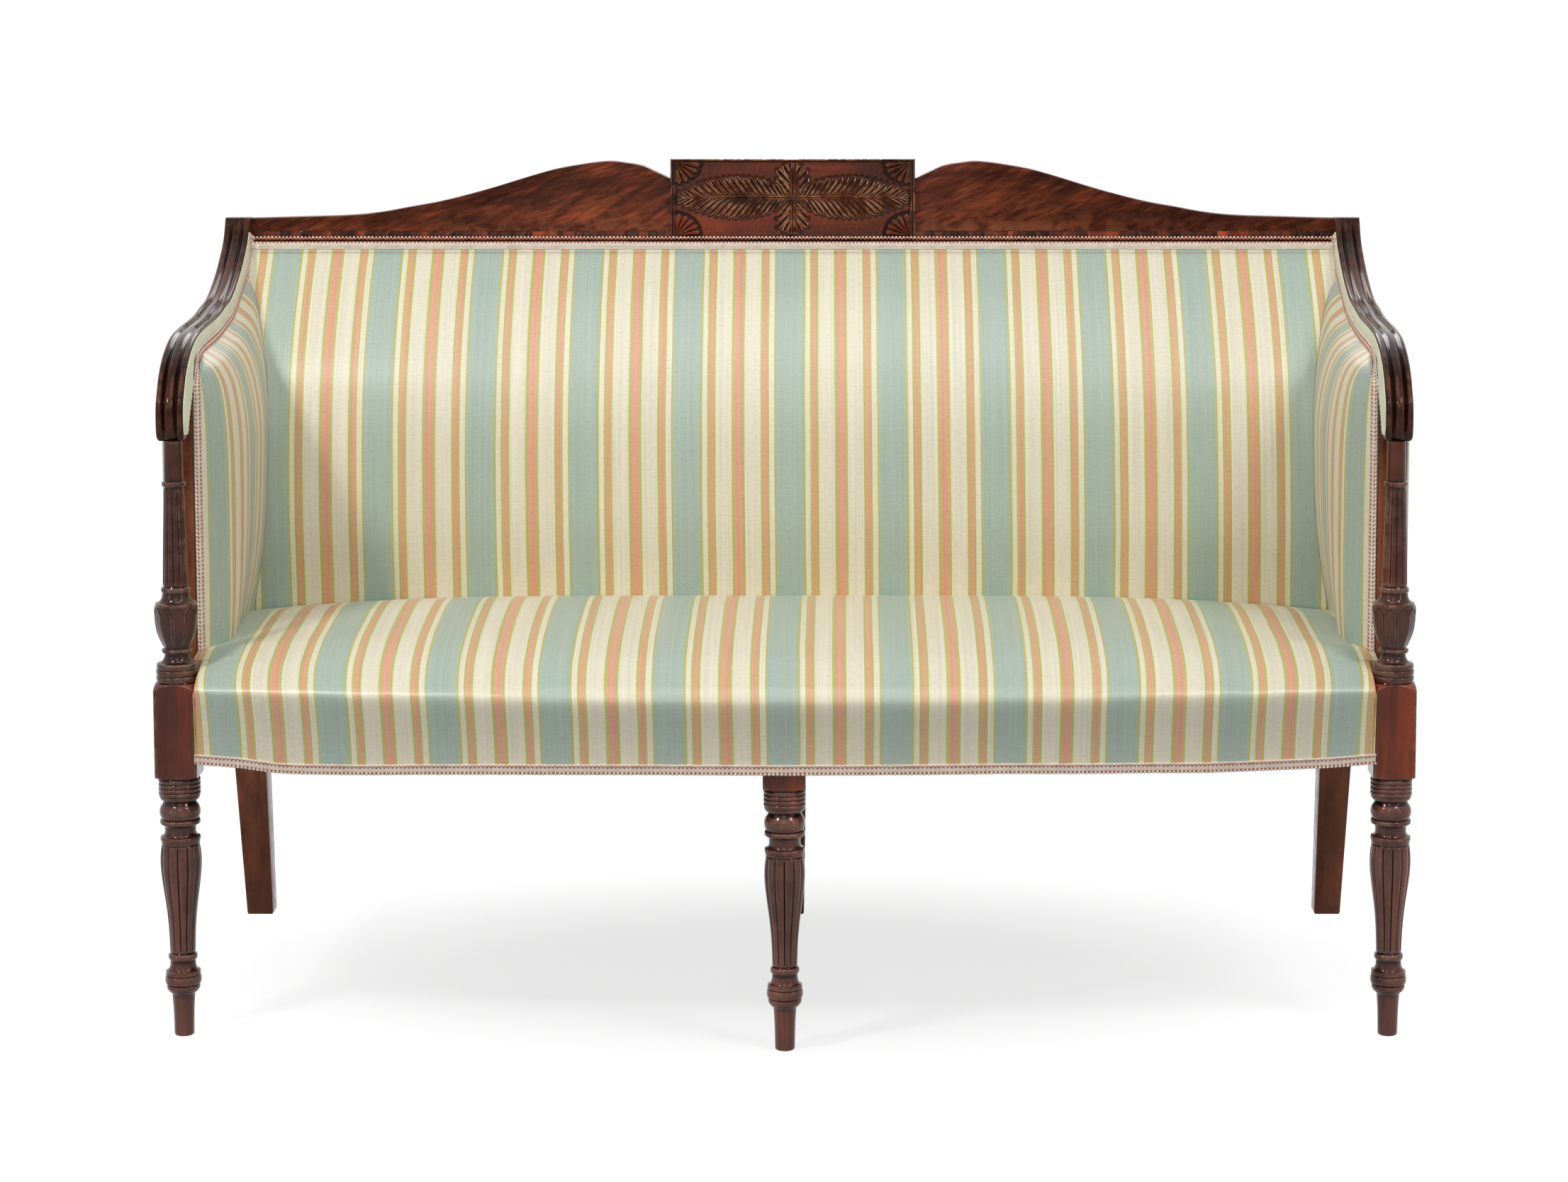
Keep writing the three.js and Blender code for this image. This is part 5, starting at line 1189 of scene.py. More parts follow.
def arm_half(y, z):
    """Half the width between the padded arms at a depth and height."""
    return rail_inner(y) - ARM_SET_IN - ARM_PAD * pad_share(y, z)


def pad_share(y, z):
    """How thick the arm pad is, as a share of its full thickness."""
    below = np.maximum(side_edge(y) - 0.4 - z, 0.0) / (side_edge(y) - ARM_SEAT)
    rear = np.clip((np.asarray(y, float) - 110.0) / 130.0, 0, 1)
    full = fair(PAD_FULL_FRONT, below) + (fair(PAD_FULL_REAR, below) - fair(PAD_FULL_FRONT, below)) * rear
    thick = fair(PAD_THICK, (np.asarray(y, float) - ARM_FRONT) / ARM_LENGTH)
    return thick * full


pairs = np.array(ARM_COLUMNS) * ARM_LENGTH + ARM_FRONT
spread = np.linspace(0, len(pairs) - 1, 150)
y_top = np.interp(spread, np.arange(len(pairs)), pairs[:, 0])
y_low = np.interp(spread, np.arange(len(pairs)), pairs[:, 1])
shares = np.concatenate([np.linspace(0, 0.06, 12), np.linspace(0.07, 0.97, 80), [0.985, 1.0]])
top = np.minimum(side_edge(y_top) - 0.4, GIMP_TURN - 1.0 + (y_top - GIMP_INNER_Y) * 1.1)
arm_y = y_top[None, :] + (y_low - y_top)[None, :] * shares[:, None]
arm_z = top[None, :] + (SEAT_TUCK - top)[None, :] * shares[:, None]
along_y = np.linspace(60, ARM_END + 10, 400)
along_run = np.insert(np.cumsum(np.hypot(np.diff(along_y), np.diff(arm_half(along_y, 600.0)))), 0, 0.0)
arm_stripe = np.interp(arm_y, along_y, along_run) - along_run[np.searchsorted(along_y, pairs[0, 0])] - 9.0
for side, hand in SIDES:
    drawn_in = np.minimum(arm_half(arm_y, arm_z), 708.9 + 0.107 * (arm_y - GIMP_INNER_Y))
    face = np.stack([side * drawn_in, arm_y, arm_z], 2)
    turned = np.array([(716.4, 64.0), (713.4, 68.2), (710.6, 72.2)])
    strip = np.stack([np.stack([np.full(len(shares), side * x), np.full(len(shares), y), arm_z[:, 0]], 1)
                      for x, y in turned], 1)
    face = np.concatenate([strip, face], axis=1)
    stripe = np.stack([arm_stripe / REPEAT, arm_z * mm], 2)
    turned_in = np.array([[(d / REPEAT, 0.0) for d in (12, 7, 2)]])
    stripe = np.concatenate([stripe[:, :1] - turned_in, stripe], axis=1)
    face = drawn_tight(face, side, tack_map(face.shape[:2], 3, 6, 5, 3), 20 + side)
    cover = cloth_cover("arm_cover_" + hand + "_satin", face, stripe, side, 1.5)
    on_frame(cover, "striped_satin", "arm_cover_" + hand)

# Back cover: one width of satin from the gimp under the crest down behind the seat, tucked in at the arms.
BACK_PROFILE = [(0, .044), (.134, .033), (.291, 0), (.395, .022), (.505, .054), (.614, .114), (.72, .239),
                (.822, .451), (.875, .571), (.928, .696), (.956, .826), (.977, .941), (.998, .987)]
BACK_GIMP = (CREST_LOW - 9.2, CREST_LOW + 0.3)
BACK_FRONT, BACK_SWING, BACK_HIGH = 397.0, 183.9, 508.5
BACK_BLUR = np.linspace(-70.0, 70.0, 15)
BACK_WEIGHT = np.exp(-(BACK_BLUR / 38.0) ** 2)
BACK_WEIGHT = BACK_WEIGHT / BACK_WEIGHT.sum()


def back_profile(z):
    """Depth of the back cover at a height, drawn as one even curve."""
    near = (np.asarray(z, float)[..., None] - SEAT_TUCK + BACK_BLUR) / BACK_HIGH
    return BACK_FRONT + BACK_SWING * (fair(BACK_PROFILE, near) * BACK_WEIGHT).sum(axis=-1)


def back_half(z):
    """Half the width of the back cover between the padded arms."""
    return arm_half(back_profile(z), z) - 0.5


levels = np.concatenate([np.linspace(CREST_LOW - 1.0, CREST_LOW - 30, 16),
                         np.linspace(CREST_LOW - 36, 440, 96), [434, 428, 421, 414]])
width = back_half(levels)
spread = np.linspace(-1, 1, 231)
back_x = width[:, None] * spread[None, :]
back_y = np.repeat(back_profile(levels)[:, None], len(spread), axis=1)
back_z = np.repeat(levels[:, None], len(spread), axis=1)
tuck = np.clip(back_at(levels) - back_profile(levels) - 2.0, 0.0, 24.0)[:, None]
folds = np.array([1.0, 0.72, 0.45, 0.22])[None, :]
left_y = back_y[:, :1] + tuck * folds
left = (-arm_half(left_y, back_z[:, :1]) + 0.5 + 0 * folds, left_y, back_z[:, :1] + 0 * folds)
right = (-left[0][:, ::-1], left_y[:, ::-1], left[2])
back_face = np.stack([np.hstack([left[i], (back_x, back_y, back_z)[i], right[i]]) for i in range(3)], 2)
up = np.interp(levels, [420.0, 650.0, 920.0], [0.0, 1.0, 2.0])
first = np.interp(up, [0, 1, 2], [0.5, -1.5, -3.3])[:, None]
pitch = np.interp(up, [0, 1, 2], [134.9, 134.8, 134.4])[:, None]
# The first stripe's place and the pitch drift a little with the height, as the cloth was drawn.
flat = run_along(back_face, 1) / mm
flat = flat - flat[:, [len(spread) // 2 + 4]]
back_stripe = np.stack([(flat - first) / pitch + GREEN_MIDDLE, run_along(back_face, 0)], 2)
back_face = drawn_tight(back_face, -1, tack_map(back_face.shape[:2], 4, 6, 6, 6), 31)
cover = cloth_cover("back_cover_satin", back_face, back_stripe, -1)
on_frame(cover, "striped_satin", "back_cover")

# Seat cover: satin drawn from the hem up the bowed front, over the rounded edge and the crowned top, cut
# round the front posts and tucked down between the seat and the arms and back.
SEAT_DEPTH, SEAT_BACK, LEG_INNER = 494.0, 400.0, 704.6
SEAT_RISE = [(0, 0), (.008, .16), (.022, .31), (.04, .44), (.067, .56), (.105, .66), (.152, .75),
             (.2125, .84), (.283, .9), (.364, .95), (.455, .99), (.567, 1), (.688, .95), (.81, .82),
             (.911, .69), (1, .56)]
BLOCK_CLEAR = 704.3
BOW_ENDS, BOW_DEEP = -28.0, 66.0


def bow_at(x):
    """Front of the seat, which swells forward between the corner legs."""
    return BOW_ENDS - BOW_DEEP * (1 - (np.asarray(x, float) / LEG_INNER) ** 2)


HEM_DROPS = [(-704, 1.5), (-650, 3.5), (-607, 8), (-573, 8.4), (-500, 7), (-429, 4.5), (-345, 2.5),
             (-260, 1.2), (-150, 0), (260, 0), (345, 1.5), (429, 2.5), (500, 4.2), (573, 3.8), (650, 3.3),
             (704, 1)]


def hem_at(x):
    """Lower edge of the seat cover, drawn down a little more beside the legs than in the middle."""
    places, drops = np.array(HEM_DROPS).T
    return HEM - np.interp(x, places, drops)


def seat_half(y):
    """Half the width of the seat cover, which steps out behind the blocks of the front posts."""
    beside = np.minimum(NOTCH_HALF, arm_half(np.maximum(y, NOTCH_BACK), ARM_SEAT) - 0.5)
    return np.where(y < NOTCH_FRONT, BLOCK_CLEAR, np.where(y < NOTCH_BACK, NOTCH_HALF, beside))


def seat_top(across, run):
    """Height of the crowned top of the seat, at a run back from its front edge."""
    return SEAT_EDGE + SEAT_CROWN * (1 - SEAT_SIDE * across ** 4) * float(fair(SEAT_RISE, run / SEAT_DEPTH))


def eased(t, first, second, last=1.0):
    """A cubic curve from zero to last, with two places in between that it leans to."""
    return 3 * t * (1 - t) ** 2 * first + 3 * t ** 2 * (1 - t) * second + t ** 3 * last


across = np.concatenate([np.linspace(-1, -0.985, 5), np.linspace(-0.978, 0.978, 241),
                         np.linspace(0.985, 1, 5)])
runs = np.concatenate([[34.0, 38.0, 42.0, 46.0, 50.0, 53.4, 55.2],
                       np.linspace(62, 494, 84)])
front_x = across * BLOCK_CLEAR
front, edge = bow_at(front_x), float(bow_at(BLOCK_CLEAR))
rows = []
HEM_ROWS, TUCK_ROWS = 18, 6
NOSE, ROUND_DEEP, BULGE = 427.0, 34.0, 12.0
uneven = (np.sin(front_x / 29.0 + 1.0) + 0.8 * np.sin(front_x / 17.3) + 0.6 * np.sin(front_x / 8.7 + 2.0))
bulge = BULGE * (1 - 0.45 * across ** 8) + 0.3 * uneven * (1 - across ** 8)
nose = NOSE + 0.4 * np.sin(front_x / 31.0 + 0.5) + 0.3 * np.sin(front_x / 13.0)
for t in np.linspace(0, 1, HEM_ROWS):
    rows.append(np.stack([front_x, front - bulge * t ** 2 * (3 - 2 * t),
                          hem_at(front_x) + (nose - hem_at(front_x)) * eased(t, 0.5, 0.84)], 1))
round_top = seat_top(across, ROUND_DEEP)
for t in np.linspace(0, 1, 30)[1:-1]:
    run = eased(t, 0.0, 5.0, ROUND_DEEP) - bulge * (1 - t) ** 2 * (1 + 2 * t)
    rows.append(np.stack([front_x, edge + run + (front - edge) * (1 - np.maximum(run, 0) / SEAT_DEPTH),
                          nose + (round_top - nose) * eased(t, 0.3, 0.62)], 1))
FACE_ROWS = len(rows)
for run in runs:
    straight = edge + run * (SEAT_BACK - edge) / SEAT_DEPTH
    follow = max(1 - run / SEAT_DEPTH, 0.0)
    edge_y = edge + run if run < 55.5 else straight + (run - straight + edge) * follow
    half = float(seat_half(edge_y))
    outer = np.clip((np.abs(across) - 0.9) / 0.1, 0, 1)
    past_block = max(half - BLOCK_CLEAR, 0) * outer ** 2 * (3 - 2 * outer)
    x = across * min(half, BLOCK_CLEAR) + np.sign(across) * past_block
    rows.append(np.stack([x, edge_y + (front - edge) * follow, seat_top(across, run)], 1))
seat_face = np.array(rows)
drop = np.linspace(1, 0, TUCK_ROWS + 1)[:-1]
deep = np.maximum(seat_face[:, 0, 2] - SEAT_TUCK, 0.0) * (np.arange(len(seat_face)) >= HEM_ROWS)
left = np.repeat(seat_face[:, :1], TUCK_ROWS, axis=1)
left[:, :, 2] -= deep[:, None] * drop[None, :]
left[:, :, 0] -= 1.2 * np.sin(np.pi * drop)[None, :]
left[:HEM_ROWS, :, 0] -= 0.05 * drop[None, :]
right = left[:, ::-1] * np.array([-1.0, 1.0, 1.0])
seat_face = np.concatenate([left, seat_face, right], axis=1)
behind = np.repeat(seat_face[-1:], 5, axis=0)
behind[:, :, 2] -= (behind[:, :, 2] - SEAT_TUCK) * np.array([0.2, 0.4, 0.6, 0.8, 1.0])[:, None]
seat_face = np.concatenate([seat_face, behind], axis=0)
# The stripes drift on the seat too, read at the hem, at the edge and at the back.
place = np.concatenate([np.linspace(0.0, 1.06, FACE_ROWS),
                        1.0 + np.minimum(runs / SEAT_DEPTH, 1.0), np.full(5, 2.0)])
first = np.interp(place, [0, 1, 2], [-0.5, -2.2, -4.3])[:, None]
pitch = np.interp(place, [0, 1, 2], [133.3, 134.8, 135.2])[:, None]
seat_stripe = np.stack([(seat_face[:, :, 0] - first) / pitch + GREEN_MIDDLE, run_along(seat_face, 0)], 2)
seat_face = drawn_tight(seat_face, 1, tack_map(seat_face.shape[:2], 3, 8, 8, 8), 42)
cover = cloth_cover("seat_cover_satin", seat_face, seat_stripe, 1)
on_frame(cover, "striped_satin", "seat_cover")

# Seat, back and arm stuffings: the CAD solids in curled hair, drawn back where a cover runs inside them.
hair = fibrous("curled_hair", (420.0, 6.0, 0.75),
               ((0.35, (0.05, 0.035, 0.022)), (0.65, (0.3, 0.23, 0.15))), 0.95, (0.8, 0.002))
for node in ("seat_stuffing", "back_stuffing", "arm_stuffing_left", "arm_stuffing_right"):
    padding = linked(node + "_pad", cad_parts[node].data.copy())
    padding.data.materials.clear()
    padding.data.materials.append(hair)
    for vertex in padding.data.vertices:
        x, y, z = vertex.co / mm
        y -= LEG_LINE / mm
        if "arm" in node:
            vertex.co.x = math.copysign(max(abs(x), float(arm_half(y, z)) + 3.0), x) * mm
        elif "seat" in node and y < float(bow_at(x)) + 30.0 and z > 380.0:
            vertex.co.y += 16.0 * mm
        elif y > 60.0:
            vertex.co.x = math.copysign(min(abs(x), float(arm_half(y, z)) - 4.0), x) * mm
        if "back" in node:
            vertex.co.y = max(y, min(float(back_profile(z)) + 5.0, float(back_at(z)) - 6.0)) * mm + LEG_LINE
    on_frame(padding, "hair_stuffing", node)

# Linings on the inner side of the arm rails: pale green satin glued on, rippled along its lower edge.
lining = clouded("pale_green_satin",
                 (30.0, 3.0, 0.5), ((0.3, (0.68, 0.72, 0.54)), (0.7, (0.82, 0.85, 0.66))),
                 (900.0, 3.0, 0.6), ((0.3, (0.85, 0.85, 0.85)), (0.7, (1.06, 1.06, 1.06))),
                 0.8, 0.42, (0.15, 0.0003), sheen=0.15)


def rail_side(side, t, share, proud):
    """A place on the inner side of an arm rail, a share of the way up it and proud of the wood."""
    top, under = swept(TOP_LINE, t), swept(UNDER_LINE, t)
    spot = under + (top - under) * share
    return (side * (float(rail_inner(top[0])) - GAP - proud), spot[0], spot[1] + GAP)


for side, hand in SIDES:
    face, back = [], []
    for t in np.linspace(0.045, 0.962, 130):
        low = GIMP_HIGH + 0.02 - 0.5 * float(np.clip((t * 30 - 18.6) / 1.6, 0, 1))
        row = np.linspace(low, 0.9, 12)
        puff = np.sin(np.pi * np.linspace(0.06, 0.94, 12)) ** 0.5
        wave = 0.25 * math.sin(t * 190) * np.linspace(1, 0, 12) ** 2
        face.append([rail_side(side, t, s, 0.25 + 0.9 * p + w) for s, p, w in zip(row, puff, wave)])
        back.append([rail_side(side, t, s, 0.0) for s in row])
    points, faces = two_skins(face, back)
    made = piece("arm_lining_" + hand + "_satin", in_place(points), faces, lining, 60)
    on_frame(made, "pale_green_satin", "arm_lining_" + hand)

# Gimp: a flat braid of cream and peach silk, scalloped on both edges and worked with two rows of salmon
# pink knots, glued over the tacks along the seat hem, under the crest and round each inner arm.
GIMP_THICK, KNOT_PITCH, KNOT_ROW = 1.6, 4.95, 0.27
braid_finish = clouded("gimp_braid",
                       (60.0, 3.0, 0.6), ((0.3, (0.72, 0.63, 0.52)), (0.7, (0.86, 0.78, 0.66))),
                       (700.0, 4.0, 0.7), ((0.3, (0.75, 0.7, 0.66)), (0.55, (1, 1, 1)),
                                           (0.75, (1.08, 1.07, 1.06))),
                       0.9, 0.7, (0.5, 0.0006), sheen=0.3)
knot_finish = fibrous("salmon_knots", (900.0, 3.0, 0.7),
                      ((0.3, (0.34, 0.09, 0.06)), (0.7, (0.55, 0.19, 0.13))), 0.6, (0.4, 0.0005))


def knot_model(finish, high):
    """A worked knot: a flat dome of silk, a little longer along the braid."""
    points = []
    for radius, z in ((1.0, -0.1), (0.92, 0.55 * high), (0.5, high)):
        points += [(1.5 * radius * math.cos(a), 1.35 * radius * math.sin(a), z)
                   for a in np.radians(np.arange(0, 360, 45))]
    return piece("knot", np.array(points) * mm, rings_to_faces(3, 8), finish, 70)


def gimp(name, lows, highs, outs, node):
    """Braid through frames of its lower edge, upper edge and outward direction, with its worked knots."""
    lows, highs, outs = (np.asarray(v, float) for v in (lows, highs, outs))
    middle = (lows + highs) / 2
    run = np.insert(np.cumsum(np.linalg.norm(np.diff(middle, axis=0), axis=1)), 0, 0.0)
    steps = np.linspace(0, run[-1], int(run[-1] / 1.2) + 1)

    def resampled(values, at):
        return np.stack([np.interp(at, run, values[:, i]) for i in range(3)], 1)

    low, high, out = (resampled(v, steps) for v in (lows, highs, outs))
    out /= np.linalg.norm(out, axis=1, keepdims=True)
    scallop = 0.035 * np.abs(np.sin(math.pi * steps / KNOT_PITCH)) - 0.02
    weave = 0.16 * np.sin(2 * math.pi * steps / KNOT_PITCH * 2)
    face, back = [], []
    for t in np.linspace(0, 1, 11):
        edge = (t < 0.01) * -scallop + (t > 0.99) * scallop
        level = GIMP_THICK * (0.55 + 0.45 * math.sin(math.pi * t) ** 0.5) + weave * math.cos(t * 6 * math.pi)
        ridge = 0.28 * math.exp(-((min(t, 1 - t) - 0.1) / 0.05) ** 2)
        spot = low + (high - low) * (t + edge)[:, None]
        face.append(spot + out * (level + ridge)[:, None])
        back.append(spot)
    points, faces = two_skins(np.swapaxes(face, 0, 1), np.swapaxes(back, 0, 1))
    ribbon = piece(name + "_braid", in_place(points), faces, braid_finish, 70)
    on_frame(ribbon, "gimp_braid", node)
    count = int(run[-1] / KNOT_PITCH)
    for label, shift, rows, finish, high in (
            ("_knots", 0.5, (0.5 - KNOT_ROW, 0.5 + KNOT_ROW), knot_finish, 0.9),
            ("_picots", 1.0, (0.05, 0.95), braid_finish, 1.0)):
        at = (np.arange(count) + shift) * run[-1] / count
        low, high_edge, out = (resampled(v, at) for v in (lows, highs, outs))
        along = resampled(middle, at + 0.5) - resampled(middle, at - 0.5)
        places, turns = [], []
        for share in rows:
            for i in range(count):
                z = Vector(out[i]).normalized()
                x = Vector(along[i] + 1e-9).normalized()
                y = z.cross(x).normalized()
                x = y.cross(z)
                turns.append(tuple(Matrix((x, y, z)).transposed().to_euler("XYZ")))
                on_braid = low[i] + (high_edge[i] - low[i]) * share
                places.append(in_place([on_braid + out[i] * GIMP_THICK * 0.95])[0])
        worked = copies(name + label, knot_model(finish, high), places, turns, (1, 1, 1), finish, 0.12, 3)
        on_frame(worked, "gimp_braid")


bow = np.linspace(-706.6, 706.6, 160)
hem = [(x, float(bow_at(x)) - GAP, float(hem_at(x)) - 1.0) for x in bow]
forward = [(-2 * BOW_DEEP * x / LEG_INNER ** 2, -1.0, 0.0) for x in bow]
gimp("seat_gimp", hem, [(x, y, z + 12.0) for x, y, z in hem], forward, "seat_gimp")
reach = float(back_half(BACK_GIMP[0])) - 0.2
ends = np.linspace(-reach, reach, 40)
low_y, top_y = float(back_profile(BACK_GIMP[0])) - GAP, float(back_profile(BACK_GIMP[1])) - 1.9
gimp("back_gimp", [(x, low_y, BACK_GIMP[0]) for x in ends], [(x, top_y, BACK_GIMP[1]) for x in ends],
     [(0.0, -12.0, top_y - low_y)] * len(ends), "back_gimp")
GIMP_FOOT = 457.5
for side, hand in SIDES:
    lows, highs, outs = [], [], []
    for t in np.linspace(0.045, 17 / 30, 60):
        lows.append(rail_side(side, t, GIMP_LOW, 0.0))
        highs.append(rail_side(side, t, GIMP_HIGH, 0.0))
        outs.append((-side, 0.0, 0.0))
    for z in np.linspace(GIMP_TURN, GIMP_FOOT, 50):
        lows.append((side * 709.5, GIMP_INNER_Y, z))
        highs.append((side * NOTCH_HALF, NOTCH_BACK, z))
        outs.append((-side * 0.7071, -0.7071, 0.0))
    gimp("arm_gimp_" + hand, lows, highs, outs, "arm_gimp_" + hand)

# Outside arm covers and outside back: the same satin drawn flat over the frame and in at its edges.
OUTSIDE, OUT_BACK_HALF = STILE_OUTER + GAP, 711.7
for side, hand in SIDES:
    places = np.concatenate([np.linspace(25.8, 59.9, 9), [60.0], np.linspace(64, 499.6, 100), [499.7],
                             np.linspace(503, 552, 14)])
    bottoms = np.where(places < 499.65, HEM + 0.6, LEAN_FROM + (places - 499.7) / LEAN)
    tops = np.where(places < 59.95, RAIL_TOP, under_rail(places) - 0.6)
    shares = np.linspace(0, 1, 70)[:, None]
    y = places[None, :] + 0 * shares
    z = bottoms[None, :] + (tops - bottoms)[None, :] * shares
    gap = np.minimum(np.minimum(z - bottoms, tops - z), 40) / 40
    x = np.full_like(y, OUTSIDE + 2.0) + 0.5 * np.sqrt(np.clip(gap, 0, 1)) - 0.5
    grid = np.stack([side * x, y, z], 2)
    stripe = np.stack([(y + 12.0) / REPEAT, z * mm], 2)
    cover = cloth_cover("outside_arm_cover_" + hand + "_satin", grid, stripe, -side)
    on_frame(cover, "striped_satin", "outside_arm_cover_" + hand)
levels = np.linspace(HEM + 0.6, CREST_LOW - GAP, 90)
depth = REAR_DEPTH + (TOP_DEPTH - REAR_DEPTH) * np.clip((levels - LEAN_FROM) / (CREST_LOW - LEAN_FROM), 0, 1)
rear = back_at(levels) + depth - 1.0
x, z = np.meshgrid(np.linspace(-OUT_BACK_HALF, OUT_BACK_HALF, 150), levels)
y = rear[:, None] + 0 * x - 0.8 * np.exp(-(OUT_BACK_HALF - np.abs(x)) / 12)
cover = cloth_cover("outside_back_cover_satin", np.stack([x, y, z], 2),
                    np.stack([(x + 3.0) / REPEAT + GREEN_MIDDLE, z * mm], 2), -1)
on_frame(cover, "striped_satin", "outside_back_cover")

# Dust cover under the seat: thin bleached cambric that sags a little between the rails.
cambric = Finish("cambric")
cambric_place = cambric.node("ShaderNodeTexCoord")
cambric_thread = cambric.noise(cambric_place, 1.0, 3.0, 0.6, (1500.0, 60.0, 60.0))
cambric_cross = cambric.noise(cambric_place, 1.0, 3.0, 0.6, (60.0, 1500.0, 60.0))
cambric_cloud = cambric.noise(cambric_place, 7.0, 4.0, 0.6)
cambric_tone = cambric.ramp(cambric_cloud, (0.3, (0.42, 0.4, 0.34)), (0.7, (0.6, 0.58, 0.51)))
cambric_weave = cambric.blend(None, cambric_thread, cambric_cross, mode="MULTIPLY", share=1.0)
cambric_lines = cambric.ramp(cambric_weave, (0.12, (0.75, 0.75, 0.75)), (0.4, (1.08, 1.08, 1.08)), out=2)
cambric.colour(cambric.blend(None, cambric_tone, cambric_lines, mode="MULTIPLY", share=0.9))
cambric.constants({"Roughness": 0.85})
for ridges in (cambric_thread, cambric_cross):
    cambric.raise_by(ridges, 0.3, 0.0004)
# The front edge steps round the middle leg's block and the posts, the rear edge round the rear legs.
MIDDLE_BACK = -MIDDLE_LEG_SET + BLOCK / 2
half = np.concatenate([[10, 20.5, 20.7, 25.9, 26.1], np.linspace(30, 695, 90),
                       [703.9, 704.1, 711.3, 711.5, 730, 749.4]])
x = np.concatenate([-half[::-1], [0], half])
front = np.where(np.abs(x) < 26, MIDDLE_BACK + 0.6, np.where(np.abs(x) < 704, bow_at(x) + 3.2, 26.0))
rear = np.where(np.abs(x) < 20.6, 499.4, np.where(np.abs(x) < 711.4, 539.0, 499.4))
shares = np.linspace(0, 1, 60)[:, None]
y = front[None, :] + (rear - front)[None, :] * shares
inside = np.minimum(1.0, np.minimum(np.sin(np.pi * shares), (750 - np.abs(x))[None, :] / 180))
z = HEM - GAP - 3.0 * inside * (0.7 + 0.3 * np.sin(x / 47.0)[None, :])
sheet = np.stack([x[None, :] + 0 * y, y, z + 0 * y], 2)
cover = cloth_cover("dust_cover_cambric", sheet, sheet[:, :, :2] * mm, -1, 0.7, cambric.material)
on_frame(cover, "cambric", "dust_cover")

# Webbing: jute straps, woven over and under each other, with their ends on the rails.
jute = fibrous("jute_webbing", (600.0, 4.0, 0.7),
               ((0.3, (0.19, 0.13, 0.07)), (0.7, (0.45, 0.34, 0.2))), 0.9, (0.6, 0.001))


STRAP_HALF, SEAT_STRAP_END, SEAT_STRAP_BACK, BACK_STRAP_END = 25.0, 738.0, 529.0, 722.0


def strap(start, end, across, up, crossings, first):
    """A strap between two places, passing over and under at its crossings."""
    start, end, across, up = (np.array(v, float) for v in (start, end, across, up))
    run = np.linspace(0, 1, 80)
    length = np.linalg.norm(end - start)
    wave = np.zeros(len(run))
    for i, place in enumerate(crossings):
        wave += (1 if (i + first) % 2 else -1) * np.exp(-(((run - place) * length) / 28.0) ** 2)
    face, back = [], []
    for t in np.linspace(-STRAP_HALF, STRAP_HALF, 7):
        line = start + (end - start) * run[:, None] + across * t
        face.append(line + up * (0.9 * wave + 0.8)[:, None])
        back.append(line + up * (0.9 * wave - 0.8)[:, None])
    return two_skins(np.swapaxes(face, 0, 1), np.swapaxes(back, 0, 1))


def lattice(name, straps, node):
    """The straps of one webbing as one piece."""
    points, faces, count = [], [], 0
    for strap_points, strap_faces in straps:
        points.append(strap_points)
        faces += [[i + count for i in face] for face in strap_faces]
        count += len(strap_points)
    made = piece(name, in_place(np.vstack(points)), faces, jute, 60)
    on_frame(made, "jute_webbing", node)


long_x = [(LEG_INNER - 50) * (2 * (i + 0.5) / 7 - 1) for i in range(7)]
wide_y = [135.0 + (REAR_SET - 60 - 150) * i / 3 for i in range(3)]
STRAP_LIFT = 1.6
z = RAIL_TOP + STRAP_LIFT
straps = []
for i, y in enumerate(wide_y):
    places = [(x / SEAT_STRAP_END + 1) / 2 for x in long_x]
    straps.append(strap((-SEAT_STRAP_END, y, z), (SEAT_STRAP_END, y, z), (0, 1, 0), (0, 0, 1), places, i))
for i, x in enumerate(long_x):
    start = float(bow_at(max(abs(x) - STRAP_HALF, 0))) + BOW_DEEP / 7 + 10
    places = [(y - start) / (SEAT_STRAP_BACK - start) for y in wide_y]
    straps.append(strap((x, start, z), (x, SEAT_STRAP_BACK, z), (1, 0, 0), (0, 0, 1), places, i + 1))
lattice("seat_webbing_straps", straps, "seat_webbing")
lean = np.array([0.0, LEAN, 1.0]) / math.hypot(LEAN, 1)
out = (0.0, -lean[2], lean[1])
straps = []
z_low, z_high = 462.0, CREST_LOW - 10
above_rail = z_low + 30
wide_z = [above_rail + (z_high - above_rail) * (i + 0.5) / 2 for i in range(2)]
upright_x = [(POST_INNER - 50) * (2 * (i + 0.5) / 5 - 1) for i in range(5)]
for i, z in enumerate(wide_z):
    y = float(back_at(z)) - STRAP_LIFT
    places = [(x / BACK_STRAP_END + 1) / 2 for x in upright_x]
    straps.append(strap((-BACK_STRAP_END, y, z), (BACK_STRAP_END, y, z), lean, out, places, i))
for i, x in enumerate(upright_x):
    places = [(z - z_low) / (z_high - z_low) for z in wide_z]
    low, high = ((x, float(back_at(z)) - STRAP_LIFT, z) for z in (z_low, z_high))
    straps.append(strap(low, high, (1, 0, 0), out, places, i + 1))
lattice("back_webbing_straps", straps, "back_webbing")

# Camera, floor and lamps: a pale floor that runs away to white, a lamp high on each side in front, a wide
# one overhead, a tall one in front, a thin upright strip on each side and one lamp behind. The camera looks
# a little down from a little to the right of the middle.
EYE = (0.0829, LEG_LINE - 4.2874, 1.2876)
TILT = math.radians(6.12)
lens = bpy.data.cameras.new("camera")
lens.lens, lens.sensor_width = 83.21, 36.0
lens.shift_x, lens.shift_y = -0.0448, -0.15
lens.clip_end = 60.0
camera = linked("camera", lens)
camera.location = EYE
camera.rotation_euler = (math.pi / 2 - TILT, 0.0, 0.0)
bpy.context.scene.camera = camera

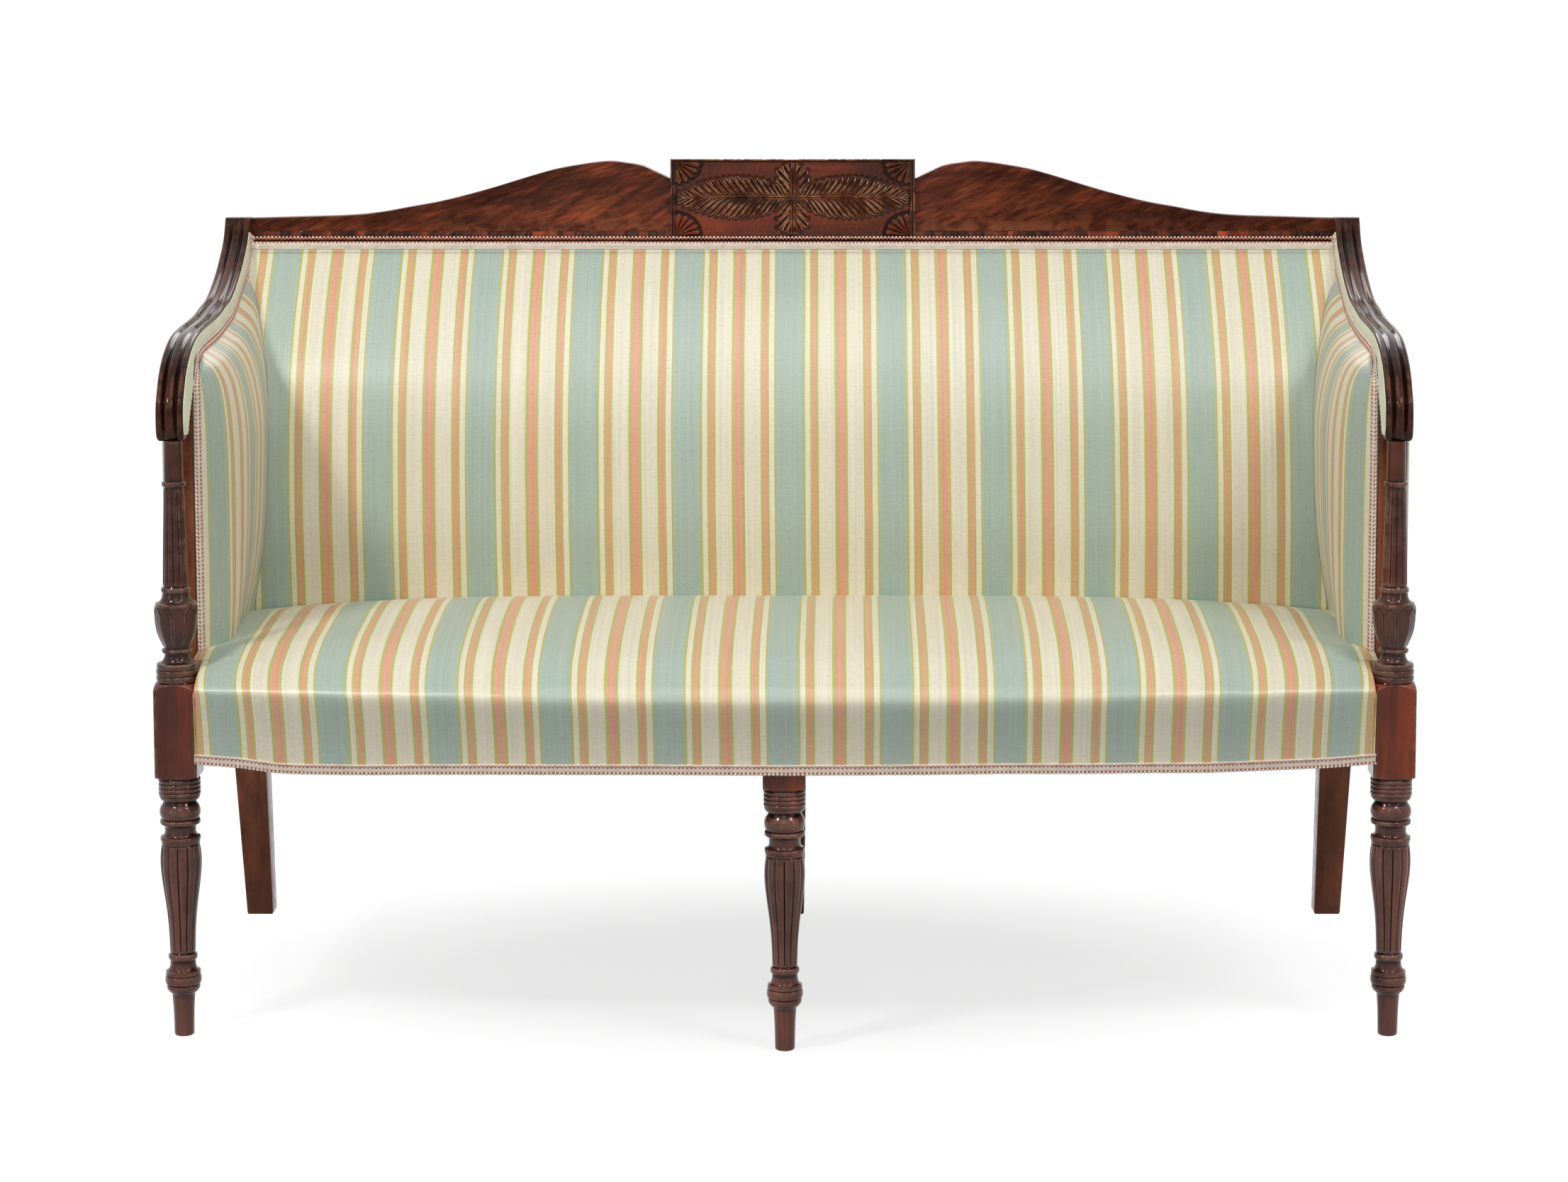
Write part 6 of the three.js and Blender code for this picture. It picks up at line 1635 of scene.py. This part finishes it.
floor_finish = Finish("white_floor")
floor_finish.constants({"Base Color": (0.24, 0.24, 0.24, 1), "Roughness": 0.9, "Specular IOR Level": 0.0,
                        "Emission Color": (1, 1, 1, 1)})
FLOOR_GLOW, FAR_GLOW = 0.735, 0.255


def background_rays(tree):
    """One where a ray comes from the camera or by a mirror or glass, as the background is seen there."""
    path = tree.nodes.new("ShaderNodeLightPath")
    both, all_three = tree.nodes.new("ShaderNodeMath"), tree.nodes.new("ShaderNodeMath")
    both.operation = all_three.operation = "ADD"
    all_three.use_clamp = True
    tree.links.new(path.outputs["Is Camera Ray"], both.inputs[0])
    tree.links.new(path.outputs["Is Glossy Ray"], both.inputs[1])
    tree.links.new(both.outputs[0], all_three.inputs[0])
    tree.links.new(path.outputs["Is Transmission Ray"], all_three.inputs[1])
    return all_three


flatter = floor_finish.node("ShaderNodeVectorMath", operation="MULTIPLY")
flatter.inputs[1].default_value = (0.62, 1.0, 0.0)
floor_finish.join(floor_finish.node("ShaderNodeTexCoord"), flatter, 3)
away = floor_finish.join(flatter, floor_finish.node("ShaderNodeVectorMath", operation="LENGTH"))
paler = floor_finish.node("ShaderNodeMapRange", interpolation_type="SMOOTHSTEP")
for socket, value in enumerate((0.2, 0.68, FLOOR_GLOW, FLOOR_GLOW + FAR_GLOW)):
    paler.inputs[socket + 1].default_value = value
floor_finish.join(away, paler, 1)
glow = floor_finish.sums("MULTIPLY", background_rays(floor_finish.tree), paler)
floor_finish.drive("Emission Strength", glow)
floor_mesh = bpy.data.meshes.new("floor")
floor_mesh.from_pydata([(-30, -30, 0), (30, -30, 0), (30, 30, 0), (-30, 30, 0)], [], [(0, 1, 2, 3)])
floor_mesh.materials.append(floor_finish.material)
floor = linked("floor", floor_mesh)

world = bpy.data.worlds.new("studio")
bpy.context.scene.world = world
world.use_nodes = True
sky = world.node_tree
background = sky.nodes["Background"]
background.inputs["Color"].default_value = (1, 1, 1, 1)
FILL = 0.24
level = sky.nodes.new("ShaderNodeMath")
level.operation = "MULTIPLY_ADD"
level.inputs[1].default_value, level.inputs[2].default_value = 1.0 - FILL, FILL
sky.links.new(background_rays(sky).outputs[0], level.inputs[0])
sky.links.new(level.outputs[0], background.inputs["Strength"])


AIM = np.array([0.0, 0.0, 0.5])


def lamp(name, azimuth, height_angle, distance, size, power, tall=0.0):
    """An area lamp aimed at the settee; its azimuth is from the front and grows to the right."""
    light = bpy.data.lights.new(name, "AREA")
    light.shape, light.size, light.energy = "DISK", size, power
    if tall:
        light.shape, light.size_y = "RECTANGLE", tall
    made = linked(name, light)
    a, e = math.radians(azimuth), math.radians(height_angle)
    back = np.array([math.sin(a) * math.cos(e), -math.cos(a) * math.cos(e), math.sin(e)])
    made.location = AIM + back * distance
    made.rotation_mode = "QUATERNION"
    made.rotation_quaternion = Vector(-back).to_track_quat("-Z", "Y")


lamp("left_lamp", -46, 42, 3.6, 0.45, 44)
lamp("right_lamp", 46, 42, 3.6, 0.9, 33)
lamp("top_lamp", 0, 68, 3.2, 1.8, 22)
lamp("front_lamp", -4, 31, 3.6, 1.2, 13, tall=1.7)
lamp("left_strip", -50, 12, 3.4, 0.08, 6, tall=1.5)
lamp("right_strip", 52, 14, 3.4, 0.08, 6, tall=1.5)
lamp("back_lamp", 180, 32, 3.6, 1.5, 16)

bpy.context.scene.view_settings.view_transform = "Standard"
